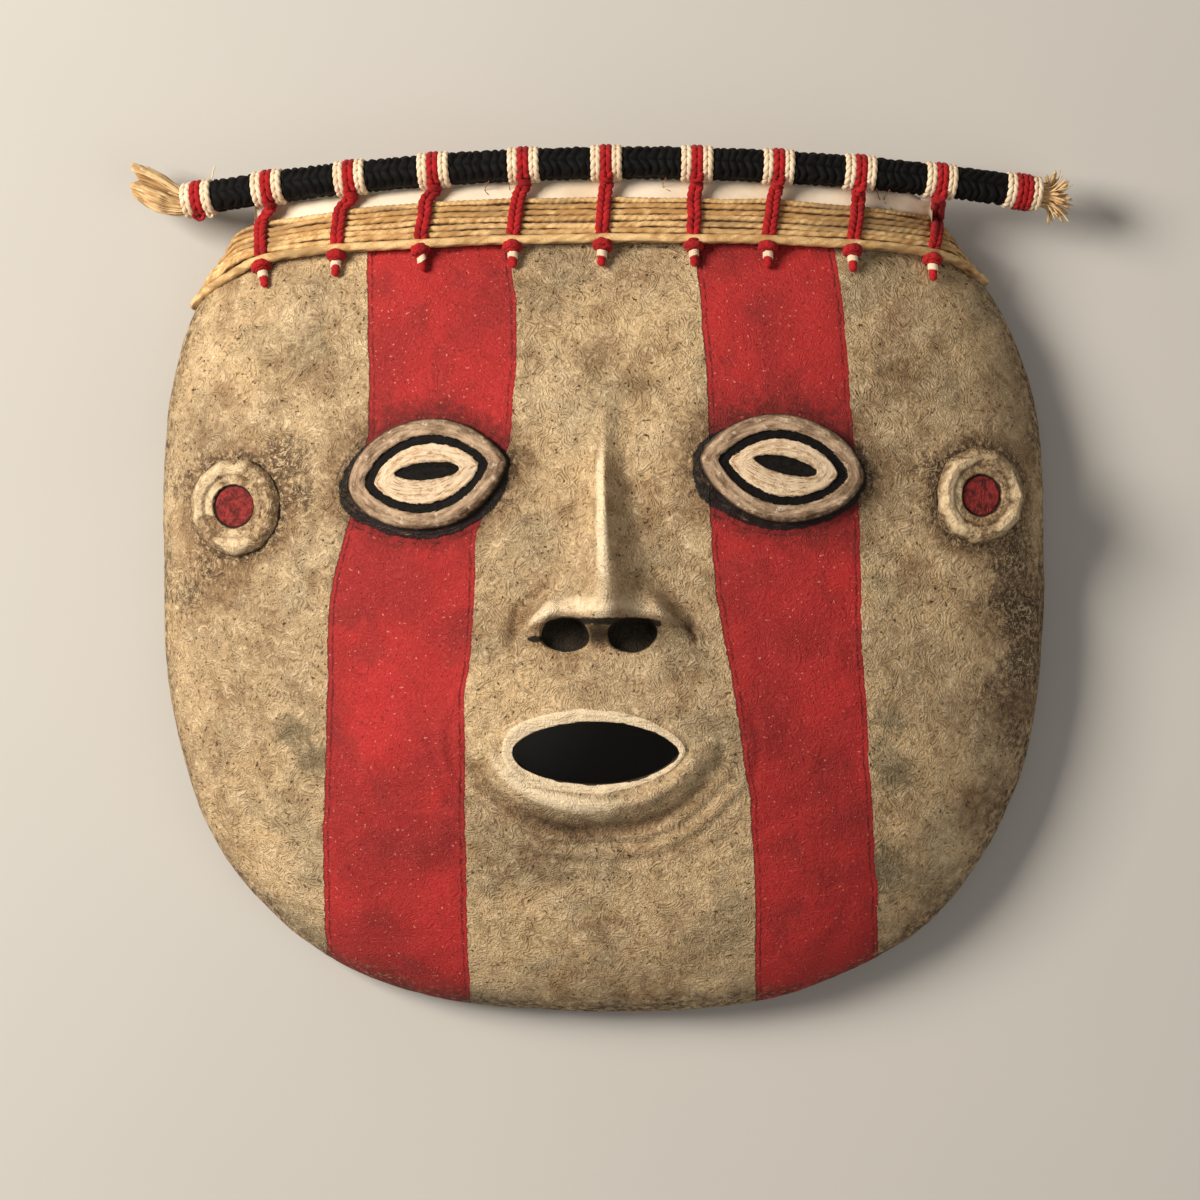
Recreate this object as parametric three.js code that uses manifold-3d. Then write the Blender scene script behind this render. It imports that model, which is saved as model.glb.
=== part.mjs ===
// A broad painted face mask, lying on its back with the face up.
// The shell is one domed piece of moulded fibre with the nose and the lips in it and an open mouth.
// Two eye plates and two ear discs are set on it. A white strip lies over the top edge, held down by rows
// of plant-fibre cord. A yarn-wrapped bar lies along the top edge, and nine red ties hang from it over
// the rows, pass under the lowest cord and end in a knob with a whipped tip.
// Millimetres. +Z is up out of the face, +Y towards the forehead, +X to the right of someone facing it.
// The origin is on the ground under the middle of the mask.
import * as THREE from "three";
import { mergeVertices } from "three/addons/utils/BufferGeometryUtils.js";
import Module from "manifold-3d";

const wasm = await Module();
wasm.setup();

// Driving dimensions
const GAP = 0.28; // between pieces that touch
const outline = {
  x: 0.8, y: 6.65, halfWidth: 132, above: 119, below: 135.2, cornerAbove: 3.3, cornerBelow: 2.65,
};
const dome = { wall: 6, rise: 52, thick: 5 };
const mouth = { x: -1.6, y: -49.5, halfWidth: 24.1, halfHeight: 9.2, point: 0.3 };
const lips = {
  rim: 2.2, rimAt: 1.6, rimWide: 1.7, lower: 4.2, lowerAt: 6.5, lowerWide: 4, fold: 1.4, foldAt: 15,
};
const muzzle = { rise: 3, wide: 22 };
const nose = { x: 0.6, root: 52, tip: -8, base: -20.5, wings: 7, height: 22, bridge: 6, flare: 17 };
const nostrils = { left: -10.6, right: 9.6, y: -15.4, halfWidth: 5.8, halfHeight: 7.4, depth: 5.5 };
const eyes = [
  { side: "left", x: -50, y: 30.9, turn: 0.16, halfLength: 23.6, halfWidth: 15.6 },
  { side: "right", x: 52, y: 32.6, turn: -0.1, halfLength: 24.2, halfWidth: 15.2 },
];
const ears = [
  { side: "left", x: -106.4, y: 22, radius: 14.4 },
  { side: "right", x: 110.2, y: 25.2, radius: 14.2 },
];
const rows = { count: 6, radius: 0.9, pitch: 1.78, first: 2.5 };
const holder = { radius: 1.25, middle: 100.7, drop: 18.2, reach: 122, bend: 5 };
const strip = { left: -103, right: 98, thick: 0.8 };
const bar = { x: 9, y: 123.13, z: 32.4, sagY: 893, sagZ: 580 };
const yarn = { core: 2.4, inner: 3.05, black: 4.85, groove: 3.8, white: 5.4, red: 5.6 };
const band = { width: 9, red: 3.3 };
const bandsAt = [-120.2, -99.9, -74.6, -49.2, -22.8, 1.4, 28, 51.9, 76, 99.9, 124.6];
const knobsAt = [-100.2, -77.6, -52.5, -25.9, 0.3, 26.7, 48.3, 73.9, 97.6];
const knob = { radius: 2.6, halfLength: 1.7, drop: 3.5, neck: 1.3, ring: 1.35, tip: 1.2, length: 5.2 };
const tie = { halfWidth: 2.3, halfThick: 0.5 };
const tuft = { left: 14.2, right: 9.09, radius: 5.2, ragged: 2 };

// Facets round each kind of piece, and steps along a cord
const facets = { around: 48, eye: 18, ear: 16, cord: 5, cordSteps: 14, yarn: 8, tie: 6 };

const colours = {
  shell: 0xb89a6c, eye: 0xa98a63, ear: 0xb5956a, strip: 0xe0cdb0, cord: 0xd8b57c, black: 0x14110f,
  white: 0xe2cba4, red: 0x9c1f1f, straw: 0xcfab78,
};
const finish = (color, roughness) => new THREE.MeshStandardMaterial({ color, roughness, metalness: 0 });

const mask = new THREE.Group();
function place(name, geometry, material) {
  const mesh = new THREE.Mesh(geometry, material);
  mesh.name = name;
  mask.add(mesh);
  return mesh;
}

// Small helpers
const clamp01 = (t) => Math.min(1, Math.max(0, t));
const smooth = (t) => clamp01(t) ** 2 * (3 - 2 * clamp01(t));
const mix = (a, b, t) => a + (b - a) * t;
const hump = (distance, wide) => Math.exp(-((distance / wide) ** 2));

// Skins a row of closed loops that all have the same number of points, in order, into a closed surface.
// The last loop joins the first where ring is true, and otherwise both ends are closed by a fan.
function skin(loops, ring = false) {
  const count = loops[0].length;
  const points = loops.flat();
  const triangles = [];
  const last = ring ? loops.length : loops.length - 1;
  for (let i = 0; i < last; i++) {
    const here = i * count;
    const next = ((i + 1) % loops.length) * count;
    for (let j = 0; j < count; j++) {
      const k = (j + 1) % count;
      triangles.push(here + j, here + k, next + k, here + j, next + k, next + j);
    }
  }
  if (!ring) {
    for (const [start, flip] of [[0, true], [(loops.length - 1) * count, false]]) {
      const loop = points.slice(start, start + count);
      points.push(loop.reduce((sum, p) => sum.add(p), new THREE.Vector3()).divideScalar(count));
      const middle = points.length - 1;
      for (let j = 0; j < count; j++) {
        const [a, b] = [start + j, start + ((j + 1) % count)];
        triangles.push(...(flip ? [b, a, middle] : [a, b, middle]));
      }
    }
  }
  // the loops may run either way round, so the faces are turned to point out
  let volume = 0;
  for (let i = 0; i < triangles.length; i += 3) {
    const [a, b, c] = triangles.slice(i, i + 3).map((k) => points[k]);
    volume += a.dot(b.clone().cross(c));
  }
  if (volume < 0) triangles.reverse();
  const geometry = new THREE.BufferGeometry().setFromPoints(points);
  geometry.setIndex(triangles);
  geometry.computeVertexNormals();
  return geometry;
}

// The dome: a half ellipsoid over a rounded outline that is squarer above than below
function share(x, y, inset = 0) {
  const dx = Math.abs(x - outline.x) / (outline.halfWidth - inset);
  const up = y >= outline.y;
  const dy = Math.abs(y - outline.y) / ((up ? outline.above : outline.below) - inset);
  const n = up ? outline.cornerAbove : outline.cornerBelow;
  return (dx ** n + dy ** n) ** (1 / n);
}
function outlinePoint(angle, inset = 0) {
  const [c, s] = [Math.cos(angle), Math.sin(angle)];
  const reach = 1 / share(outline.x + c, outline.y + s, inset);
  return [outline.x + reach * c, outline.y + reach * s];
}
const domeHeight = (x, y, inset = 0) =>
  dome.wall + (dome.rise - inset) * Math.sqrt(Math.max(0, 1 - share(x, y, inset) ** 2));
function domeNormal(x, y) {
  const step = 0.05;
  const squared = (px, py) => share(px, py) ** 2;
  const z = domeHeight(x, y) - dome.wall;
  return new THREE.Vector3(
    (squared(x + step, y) - squared(x - step, y)) / (2 * step),
    (squared(x, y + step) - squared(x, y - step)) / (2 * step),
    (2 * z) / dome.rise ** 2,
  ).normalize();
}
// A point over the dome, lifted off it along the dome's normal
function over(x, y, lift) {
  const beyond = Math.max(1, share(x, y));
  const px = outline.x + (x - outline.x) / beyond;
  const py = outline.y + (y - outline.y) / beyond;
  return new THREE.Vector3(px, py, domeHeight(px, py)).addScaledVector(domeNormal(px, py), lift);
}

// A geometry as a solid that can be joined and cut, and back
function solidOf(geometry) {
  const bare = new THREE.BufferGeometry().setAttribute("position", geometry.getAttribute("position"));
  bare.setIndex(geometry.index);
  const welded = mergeVertices(bare, 1e-4);
  const vertProperties = welded.getAttribute("position").array;
  const triVerts = new Uint32Array(welded.index.array);
  return new wasm.Manifold(new wasm.Mesh({ numProp: 3, vertProperties, triVerts }));
}
function geometryOf(solid) {
  const mesh = solid.getMesh();
  const geometry = new THREE.BufferGeometry();
  geometry.setAttribute("position", new THREE.BufferAttribute(new Float32Array(mesh.vertProperties), 3));
  geometry.setIndex([...mesh.triVerts]);
  geometry.computeVertexNormals();
  return geometry;
}

// The nose: a straight bridge that widens into wings, with a steep arched underside. Its loops run across
// it from the root to the underside's foot, and close under the dome's surface.
function noseGeometry() {
  const sunk = 3;
  const across = [-1, -0.8, -0.55, -0.3, -0.08, 0.08, 0.3, 0.55, 0.8, 1];
  const loopAt = (down, under) => {
    const halfWidth = nose.bridge + nose.flare * down ** 3;
    const point = (out, lift) => {
      const x = nose.x + out * halfWidth;
      const edge = nose.tip - nose.wings * out ** 2;
      const y = mix(mix(nose.root, edge, down), nose.base, under);
      return new THREE.Vector3(x, y, domeHeight(x, y) + lift);
    };
    const ridge = (out) => mix((1 - out) ** 1.5, (1 - out ** 2.4) ** 0.8, down ** 3);
    const top = across.map((out) =>
      point(out, nose.height * down ** 1.25 * ridge(Math.abs(out)) * (1 - under) - 0.2),
    );
    return [...top, point(1, -sunk), point(-1, -sunk)];
  };
  const bridgeLoops = [0.02, 0.15, 0.3, 0.45, 0.6, 0.74, 0.86, 0.95, 1].map((down) => loopAt(down, 0));
  const underLoops = [0.1, 0.55, 1].map((under) => loopAt(1, under));
  return skin([...bridgeLoops, ...underLoops]);
}
function nostrilGeometry(x) {
  const lean = Math.atan2(nose.height, nose.tip - nose.base);
  const geometry = new THREE.SphereGeometry(1, 10, 7);
  geometry.scale(nostrils.halfWidth, nostrils.halfHeight, nostrils.depth);
  geometry.rotateX(lean);
  const height = nose.height * ((nostrils.y - nose.base) / (nose.tip - nose.base));
  return geometry.translate(x, nostrils.y, domeHeight(x, nostrils.y) + height);
}

// The mouth's edge, and the lips by their distance from it
function mouthPoint(angle) {
  const s = Math.sin(angle);
  return [
    mouth.x + mouth.halfWidth * Math.cos(angle),
    mouth.y + mouth.halfHeight * s * Math.abs(s) ** mouth.point,
  ];
}
function lipHeight(distance, angle) {
  const below = Math.max(0, -Math.sin(angle));
  return (
    lips.rim * hump(distance - lips.rimAt, lips.rimWide) +
    lips.lower * below ** 0.7 * hump(distance - lips.lowerAt, lips.lowerWide) -
    lips.fold * below * hump(distance - lips.foldAt, lips.lowerWide) +
    muzzle.rise * hump(distance, muzzle.wide)
  );
}

// The shell is skinned from loops that run from the mouth over the face to the outline, down the wall,
// and back along the plain inside to the mouth.
function shellGeometry() {
  const angles = Array.from({ length: facets.around }, (_, i) => (2 * Math.PI * i) / facets.around);
  const between = (angle, out, inset) => {
    const [mx, my] = mouthPoint(angle);
    const [ox, oy] = outlinePoint(angle, inset);
    return [mix(mx, ox, out), mix(my, oy, out), Math.hypot(ox - mx, oy - my) * out];
  };
  const faceLoop = (out) =>
    angles.map((angle) => {
      const [x, y, distance] = between(angle, out, 0);
      const relief = lipHeight(distance, angle) * smooth((1 - out) / 0.3);
      return new THREE.Vector3(x, y, domeHeight(x, y) + relief);
    });
  const insideLoop = (out) =>
    angles.map((angle) => {
      const [x, y] = between(angle, out, dome.thick);
      return new THREE.Vector3(x, y, domeHeight(x, y, dome.thick));
    });
  const groundLoop = (inset) => angles.map((angle) => new THREE.Vector3(...outlinePoint(angle, inset), 0));
  const outSteps = [
    0, 0.015, 0.035, 0.06, 0.09, 0.13, 0.2, 0.3, 0.42, 0.55, 0.68, 0.8, 0.89, 0.945, 0.98, 0.995, 1,
  ];
  const backSteps = [1, 0.96, 0.86, 0.7, 0.5, 0.25, 0];
  const loops = [
    ...outSteps.map(faceLoop),
    groundLoop(0),
    groundLoop(dome.thick),
    ...backSteps.map(insideLoop),
  ];
  let solid = solidOf(skin(loops, true)).add(solidOf(noseGeometry()));
  for (const x of [nostrils.left, nostrils.right]) solid = solid.subtract(solidOf(nostrilGeometry(x)));
  return geometryOf(solid);
}

// A flat-bottomed plate on the dome, from loops given as [share of its outline, height]
function plateGeometry(centre, count, outlineAt, profile) {
  const up = domeNormal(centre.x, centre.y);
  const across = new THREE.Vector3(1, 0, 0).addScaledVector(up, -up.x).normalize();
  const along = new THREE.Vector3().crossVectors(up, across);
  const seat = over(centre.x, centre.y, 0);
  const loops = profile.map(([part, height]) =>
    Array.from({ length: count }, (_, i) => {
      const [u, v] = outlineAt((2 * Math.PI * i) / count);
      const flat = seat.clone().addScaledVector(across, u * part).addScaledVector(along, v * part);
      const point = flat.clone();
      for (let pass = 0; pass < 8; pass++) {
        point.addScaledVector(up, (domeHeight(point.x, point.y) - point.z) * up.z);
      }
      return point.addScaledVector(up, height);
    }),
  );
  return skin(loops);
}
const eyeProfile = [
  [0.3, 3.3], [0.66, 3.8], [0.72, 3.1], [0.78, 3.2], [0.86, 4.3], [0.96, 3.9], [1, 2.8], [1, GAP], [0.4, GAP],
];
function eyeGeometry(eye) {
  const outlineAt = (angle) => {
    const s = Math.sin(angle);
    const u = eye.halfLength * Math.cos(angle);
    const v = eye.halfWidth * s * Math.abs(s) ** 0.2;
    const [c, t] = [Math.cos(eye.turn), Math.sin(eye.turn)];
    return [u * c - v * t, u * t + v * c];
  };
  return plateGeometry(eye, facets.eye, outlineAt, eyeProfile);
}
const earProfile = [
  [0.36, 2.6], [0.42, 4.4], [0.6, 5.2], [0.84, 5], [0.96, 3.6], [1, 2.2], [0.97, GAP], [0.4, GAP],
];
function earGeometry(ear) {
  const outlineAt = (angle) => [ear.radius * Math.cos(angle), ear.radius * Math.sin(angle)];
  return plateGeometry(ear, facets.ear, outlineAt, earProfile);
}

// The fibre rows and the cord that holds them down follow one curve, each row a pitch above the last
const holderY = (x) => holder.middle - holder.drop * Math.abs(x / holder.reach) ** holder.bend;
const rowsClose = (x) => mix(1, 0.82, smooth((Math.abs(x) - 40) / 60));
function rowY(x, row) {
  if (row === rows.count) return holderY(x);
  return holderY(x) + rows.first + (rows.count - 1 - row) * rows.pitch * rowsClose(x);
}
const onStrip = (x) => smooth((x - strip.left + 10) / 8) * smooth((strip.right + 10 - x) / 8);
function edgeCrossing(row, side) {
  let [inside, outside] = [60, 130];
  for (let pass = 0; pass < 40; pass++) {
    const middle = (inside + outside) / 2;
    if (share(side * middle, rowY(side * middle, row)) < 1) inside = middle;
    else outside = middle;
  }
  return side * inside;
}
const polygon = (radius, sides) =>
  new THREE.Shape(
    Array.from({ length: sides }, (_, i) => {
      const angle = (2 * Math.PI * i) / sides;
      return new THREE.Vector2(radius * Math.cos(angle), radius * Math.sin(angle));
    }),
  );
function cordGeometry(row, radius, lift) {
  const [left, right] = [edgeCrossing(row, -1), edgeCrossing(row, 1)];
  const points = [];
  for (let i = 0; i <= facets.cordSteps; i++) {
    const x = mix(left, right, (1 - Math.cos((Math.PI * i) / facets.cordSteps)) / 2);
    points.push(over(x, rowY(x, row), lift(x)));
  }
  // both ends run down the shell's wall to just above the ground
  for (const [end, add] of [[points[0], "unshift"], [points.at(-1), "push"]]) {
    points[add](new THREE.Vector3(end.x, end.y, radius + 1));
  }
  return new THREE.ExtrudeGeometry(polygon(radius, facets.cord), {
    steps: facets.cordSteps + 6,
    bevelEnabled: false,
    extrudePath: new THREE.CatmullRomCurve3(points, false, "centripetal"),
  });
}
const rowLift = (x) => 2 * GAP + rows.radius + (strip.thick + 2.5 * GAP) * onStrip(x);
const underHolder = 2.4; // the middle of a tie over the dome, where the holding cord crosses it
const holderLift = underHolder + tie.halfThick + 2 * GAP + holder.radius;

// The bar's middle line bends round the forehead
const barPoint = (x) =>
  new THREE.Vector3(x, bar.y - (x - bar.x) ** 2 / (2 * bar.sagY), bar.z - (x - bar.x) ** 2 / (2 * bar.sagZ));
const barAlong = (x) => new THREE.Vector3(1, -(x - bar.x) / bar.sagY, -(x - bar.x) / bar.sagZ).normalize();
const slopeOut = new THREE.Vector3(0, 0.643, 0.766); // out of the forehead's top slope
function yarnRing(name, x, profile, material) {
  const points = [...profile, profile[0]].map(([radius, along]) => new THREE.Vector2(radius, along));
  const mesh = place(name, new THREE.LatheGeometry(points, facets.yarn), material);
  mesh.position.copy(barPoint(x));
  mesh.quaternion.setFromUnitVectors(new THREE.Vector3(0, 1, 0), barAlong(x));
}
const ringProfile = (inner, outer, half) => [[inner, -half], [outer, -half], [outer, half], [inner, half]];

// The bar's core is a bundle of straw that flares into a ragged tuft at each end
function coreGeometry() {
  const loops = [];
  const addLoop = (x, radius, ragged) => {
    const along = barAlong(x);
    const across = new THREE.Vector3().crossVectors(along, slopeOut).normalize();
    const out = new THREE.Vector3().crossVectors(across, along);
    loops.push(
      Array.from({ length: facets.yarn }, (_, j) => {
        const angle = (2 * Math.PI * j) / facets.yarn;
        return barPoint(x)
          .addScaledVector(out, radius * Math.cos(angle))
          .addScaledVector(across, radius * Math.sin(angle))
          .addScaledVector(along, ragged * Math.cos(3 * angle));
      }),
    );
  };
  const [first, last] = [bandsAt[0] - band.width / 2, bandsAt.at(-1) + band.width / 2];
  addLoop(first - tuft.left, tuft.radius, tuft.ragged);
  addLoop(first - tuft.left / 2, tuft.radius * 0.75, 0);
  const steps = 12;
  for (let i = 0; i <= steps; i++) addLoop(mix(first, last, i / steps), yarn.core, 0);
  addLoop(last + tuft.right / 2, tuft.radius * 0.75, 0);
  addLoop(last + tuft.right, tuft.radius, tuft.ragged);
  return skin(loops);
}

// The white strip runs from under the lowest cord, over the shell's top edge, to behind the bar
function stripGeometry() {
  const steps = 14;
  const loops = Array.from({ length: steps + 1 }, (_, i) => {
    const x = mix(strip.left, strip.right, i / steps);
    const section = (lift, behind) => [
      over(x, holderY(x) + 2, lift),
      over(x, rowY(x, rows.count / 2), lift),
      over(x, rowY(x, 0) + rows.radius, lift),
      barPoint(x).addScaledVector(slopeOut, -yarn.red - behind),
    ];
    return [...section(2.5 * GAP, GAP + strip.thick), ...section(2.5 * GAP + strip.thick, GAP).reverse()];
  });
  return skin(loops);
}

// A tie loops over the bar, lies over the rows, dips under the holding cord and ends in a knob and a tip
function tieGeometry(fromX, toX) {
  const stations = [];
  const addStation = (point, wide, thick, facing) => stations.push({ point, wide, thick, facing });
  const loopRadius = yarn.red - tie.halfThick;
  const clearOfBar = yarn.white + 3 * GAP + tie.halfThick;
  const alongBar = barAlong(fromX);
  const upBar = new THREE.Vector3().crossVectors(slopeOut, alongBar).normalize();
  const outBar = new THREE.Vector3().crossVectors(alongBar, upBar);
  for (const degrees of [140, 100, 60, 20, -30, -85]) {
    const radius = degrees > 0 ? loopRadius : clearOfBar;
    const angle = THREE.MathUtils.degToRad(degrees);
    const out = outBar.clone().multiplyScalar(Math.cos(angle)).addScaledVector(upBar, Math.sin(angle));
    addStation(barPoint(fromX).addScaledVector(out, radius), band.red / 2, tie.halfThick, out);
  }
  const onRows = 6 * GAP + strip.thick + 2 * rows.radius + tie.halfThick;
  const topY = rowY(toX, 0);
  const bottomY = rowY(toX, rows.count - 1);
  const holdY = holderY(toX);
  const lieX = (y) => mix(fromX, toX, (barPoint(fromX).y - y) / (barPoint(fromX).y - holdY));
  for (const y of [topY, (topY + bottomY) / 2, bottomY]) {
    const x = lieX(y);
    addStation(over(x, y, onRows), tie.halfWidth, tie.halfThick, domeNormal(x, y));
  }
  const up = domeNormal(toX, holdY);
  addStation(over(toX, holdY, underHolder), knob.neck, tie.halfThick, up);
  const knobY = holdY - knob.drop;
  const knobLift = knob.radius + GAP;
  for (const [ahead, radius] of [
    [-knob.halfLength, 1.4],
    [0, knob.radius],
    [knob.halfLength, knob.ring],
    [knob.halfLength + 1.8, knob.ring],
    [knob.length, knob.tip * 0.6],
  ]) {
    addStation(over(toX, knobY - ahead, knobLift), radius, radius, domeNormal(toX, knobY - ahead));
  }
  const loops = stations.map(({ point, wide, thick, facing }, i) => {
    const before = stations[Math.max(0, i - 1)].point;
    const after = stations[Math.min(stations.length - 1, i + 1)].point;
    const along = after.clone().sub(before).normalize();
    const across = new THREE.Vector3().crossVectors(along, facing).normalize();
    const out = new THREE.Vector3().crossVectors(across, along);
    return Array.from({ length: facets.tie }, (_, j) => {
      const angle = (2 * Math.PI * j) / facets.tie;
      return point
        .clone()
        .addScaledVector(across, wide * Math.cos(angle))
        .addScaledVector(out, thick * Math.sin(angle));
    });
  });
  return skin(loops);
}

// The pieces
place("face_shell", shellGeometry(), finish(colours.shell, 0.9));
for (const eye of eyes) place("eye_plate_" + eye.side, eyeGeometry(eye), finish(colours.eye, 0.8));
for (const ear of ears) place("ear_disc_" + ear.side, earGeometry(ear), finish(colours.ear, 0.8));
place("white_strip", stripGeometry(), finish(colours.strip, 0.7));
for (let row = 0; row < rows.count; row++) {
  place("forehead_cord_" + (row + 1), cordGeometry(row, rows.radius, rowLift), finish(colours.cord, 0.8));
}
place("holding_cord", cordGeometry(rows.count, holder.radius, () => holderLift), finish(colours.cord, 0.8));
place("bar_core", coreGeometry(), finish(colours.straw, 0.9));
bandsAt.forEach((x, i) => {
  const [half, redHalf] = [band.width / 2, band.red / 2 + GAP];
  const grooved = [
    [yarn.inner, -half], [yarn.white, -half], [yarn.white, -redHalf], [yarn.groove, -redHalf],
    [yarn.groove, redHalf], [yarn.white, redHalf], [yarn.white, half], [yarn.inner, half],
  ];
  yarnRing("white_band_" + (i + 1), x, grooved, finish(colours.white, 0.9));
  if (i === 0) return;
  const from = bandsAt[i - 1];
  const wrapHalf = (x - from - band.width) / 2 - GAP;
  const wrap = ringProfile(yarn.inner, yarn.black, wrapHalf);
  yarnRing("black_wrap_" + i, (from + x) / 2, wrap, finish(colours.black, 0.95));
});
const redRing = ringProfile(yarn.groove + GAP, yarn.red, band.red / 2);
yarnRing("red_band_left", bandsAt[0], redRing, finish(colours.red, 0.9));
yarnRing("red_band_right", bandsAt.at(-1), redRing, finish(colours.red, 0.9));
knobsAt.forEach((x, i) => {
  place("red_tie_" + (i + 1), tieGeometry(bandsAt[i + 1], x), finish(colours.red, 0.9));
});

export default mask;
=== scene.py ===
"""Looks of a broad painted face mask that lies on its back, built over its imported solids.

Shapes are worked out in millimetres from named sizes, and become metres in build().
The sizes start from the solids' own and depart from them where the photograph does: the upper right
corner, the nose, the cords and the first bands.
"""
import math

import bpy
import numpy as np
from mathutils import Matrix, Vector


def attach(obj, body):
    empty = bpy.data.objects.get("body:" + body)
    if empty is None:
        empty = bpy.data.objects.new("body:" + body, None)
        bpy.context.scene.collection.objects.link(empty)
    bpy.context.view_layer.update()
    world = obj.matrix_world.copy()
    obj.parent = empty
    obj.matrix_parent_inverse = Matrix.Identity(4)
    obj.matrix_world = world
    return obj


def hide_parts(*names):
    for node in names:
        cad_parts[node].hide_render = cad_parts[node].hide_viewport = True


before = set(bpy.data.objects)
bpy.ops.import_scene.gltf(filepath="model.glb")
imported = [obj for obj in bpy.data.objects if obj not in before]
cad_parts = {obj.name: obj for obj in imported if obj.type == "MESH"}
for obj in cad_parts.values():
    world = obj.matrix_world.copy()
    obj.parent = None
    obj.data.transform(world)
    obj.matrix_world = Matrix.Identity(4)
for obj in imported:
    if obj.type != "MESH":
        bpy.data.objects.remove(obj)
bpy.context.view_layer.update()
rng = np.random.default_rng(11)

METRES_PER_MM = 0.001

# Driving dimensions, in millimetres
OUTLINE_X, OUTLINE_Y, HALF_WIDTH, ABOVE, BELOW = 0.8, 6.65, 132.0, 119.0, 135.2
CORNER_ABOVE, CORNER_RIGHT, CORNER_BELOW = 3.3, 2.88, 2.65
WALL, RISE, THICK = 6.0, 52.0, 5.0
MOUTH_X, MOUTH_Y, MOUTH_HALF_WIDTH, MOUTH_HALF_HEIGHT = -1.6, -49.5, 24.1, 9.2
MOUTH_BLUNT, MOUTH_POINT = 0.04, 0.36
NOSE_X, NOSE_ROOT, NOSE_TIP, NOSE_BASE, NOSE_WINGS = 0.6, 54.0, -9.8, -20.5, 6.0
NOSE_HEIGHT, NOSE_BRIDGE, NOSE_FLARE = 19.0, 6.4, 18.6
NOSTRIL_XS, NOSTRIL_Y, NOSTRIL_SIZE = (-10.6, 8.8), -15.2, (7.6, 5.6, 3.0)
NOSTRIL_TAIL = (-19.2, -16.6)
EYES = {
    "left": dict(
        x=-50.0, y=30.9, turn=0.16, half_length=23.6, half_width=15.9,
        plate=(0.14, 0.5), ring=(0.4, 0.62), cream=(0.35, 0.45), pupil_turn=-0.085, bed_ends=(1.1, 0.5),
        bed_and_shadow_below=(2.2, 2.2),
    ),
    "right": dict(
        x=52.0, y=32.6, turn=-0.11, half_length=24.2, half_width=15.6,
        plate=(0.34, 0.16), ring=(0.62, 0.4), cream=(0.75, 0.4), pupil_turn=-0.1, bed_ends=(1.5, 0.0),
        bed_and_shadow_below=(2.4, 1.3),
    ),
}
EYE_DRAW = 5.0
EAR_MIDDLE, EAR_CORNERS = 0.42, 11
# How far inside a mark a point counts that is nowhere near it
OFF_MARK, OFF_PLATE = -30.0, -9.0
EARS = {"left": dict(x=-106.4, y=22.0, radius=14.4), "right": dict(x=110.2, y=25.2, radius=14.2)}
ROWS, ROW_RADIUS, ROW_PITCH, ROW_FIRST = 6, 1.05, 1.86, 2.4
HOLDER_RADIUS, HOLDER_MIDDLE, HOLDER_REACH = 1.42, 98.5, 122.0
HOLDER_TILT, HOLDER_SAG, HOLDER_DROP, HOLDER_BEND = 0.008, 4.6, 11.0, 10
STRIP_LEFT, STRIP_RIGHT, STRIP_THICK = -103.0, 98.4, 0.8
BAR_X, BAR_Y, BAR_Z, BAR_SAG_Y, BAR_SAG_Z = 9.0, 123.13, 32.4, 893.0, 580.0
YARN_INNER, YARN_BLACK, YARN_WHITE, YARN_RED = 3.05, 4.85, 5.4, 5.6
BAND_WIDTH, BAND_RED, BAND_TURN = 9.0, 3.3, 1.36
# Turns of yarn round the bar: radius, thickness and how much wider than thick
WHITE_TURN = (YARN_WHITE - 0.85, 0.92, 1.08)
RED_TURN = (YARN_RED - 0.95, 0.98, 1.12)
RED_OFFSETS, LAST_RED_OFFSETS = np.array([-0.78, 0.78]), np.array([-1.6, 0, 1.6])
RED_ROOM, LAST_RED_ROOM = 0.06, 0.8
STRIP_BEHIND = YARN_RED + 0.3
BANDS_AT = [-119.4, -98.3, -73.9, -49.2, -22.8, 1.4, 28.0, 51.9, 76.0, 99.9, 124.6]
KNOBS_AT = [-98.9, -76.9, -52.5, -25.9, 0.3, 26.7, 48.3, 72.9, 96.4]
TUFT_LEFT, TUFT_RIGHT, TUFT_RADIUS = 14.2, 9.1, 5.2
SLOPE_OUT = np.array([0.0, 0.643, 0.766])

# Red stripes: each edge as [x, y] from the forehead down
STRIPES = [
    dict(
        left=[
            [-68.5, 120], [-68.4, 97], [-67.5, 44], [-72, 22], [-77, 5], [-79.2, -6], [-79.6, -34],
            [-81, -64], [-82.5, -135],
        ],
        right=[
            [-27.5, 120], [-26.7, 97], [-24.5, 82], [-24.8, 61], [-26, 40], [-36, 14], [-36.7, -5],
            [-37.6, -22], [-39.6, -33], [-39.5, -78], [-38.8, -135],
        ],
    ),
    dict(
        left=[
            [27, 120], [27.6, 97], [28.7, 82], [31.4, 46], [31.2, 20], [33.3, -5], [38.6, -34], [43.1, -63],
            [45.2, -95], [46, -135],
        ],
        right=[
            [67, 120], [68.2, 97], [71, 76], [72.8, 46], [75, 15], [75.6, -17], [77.5, -46], [80.1, -78],
            [84.5, -135],
        ],
    ),
]
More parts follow.
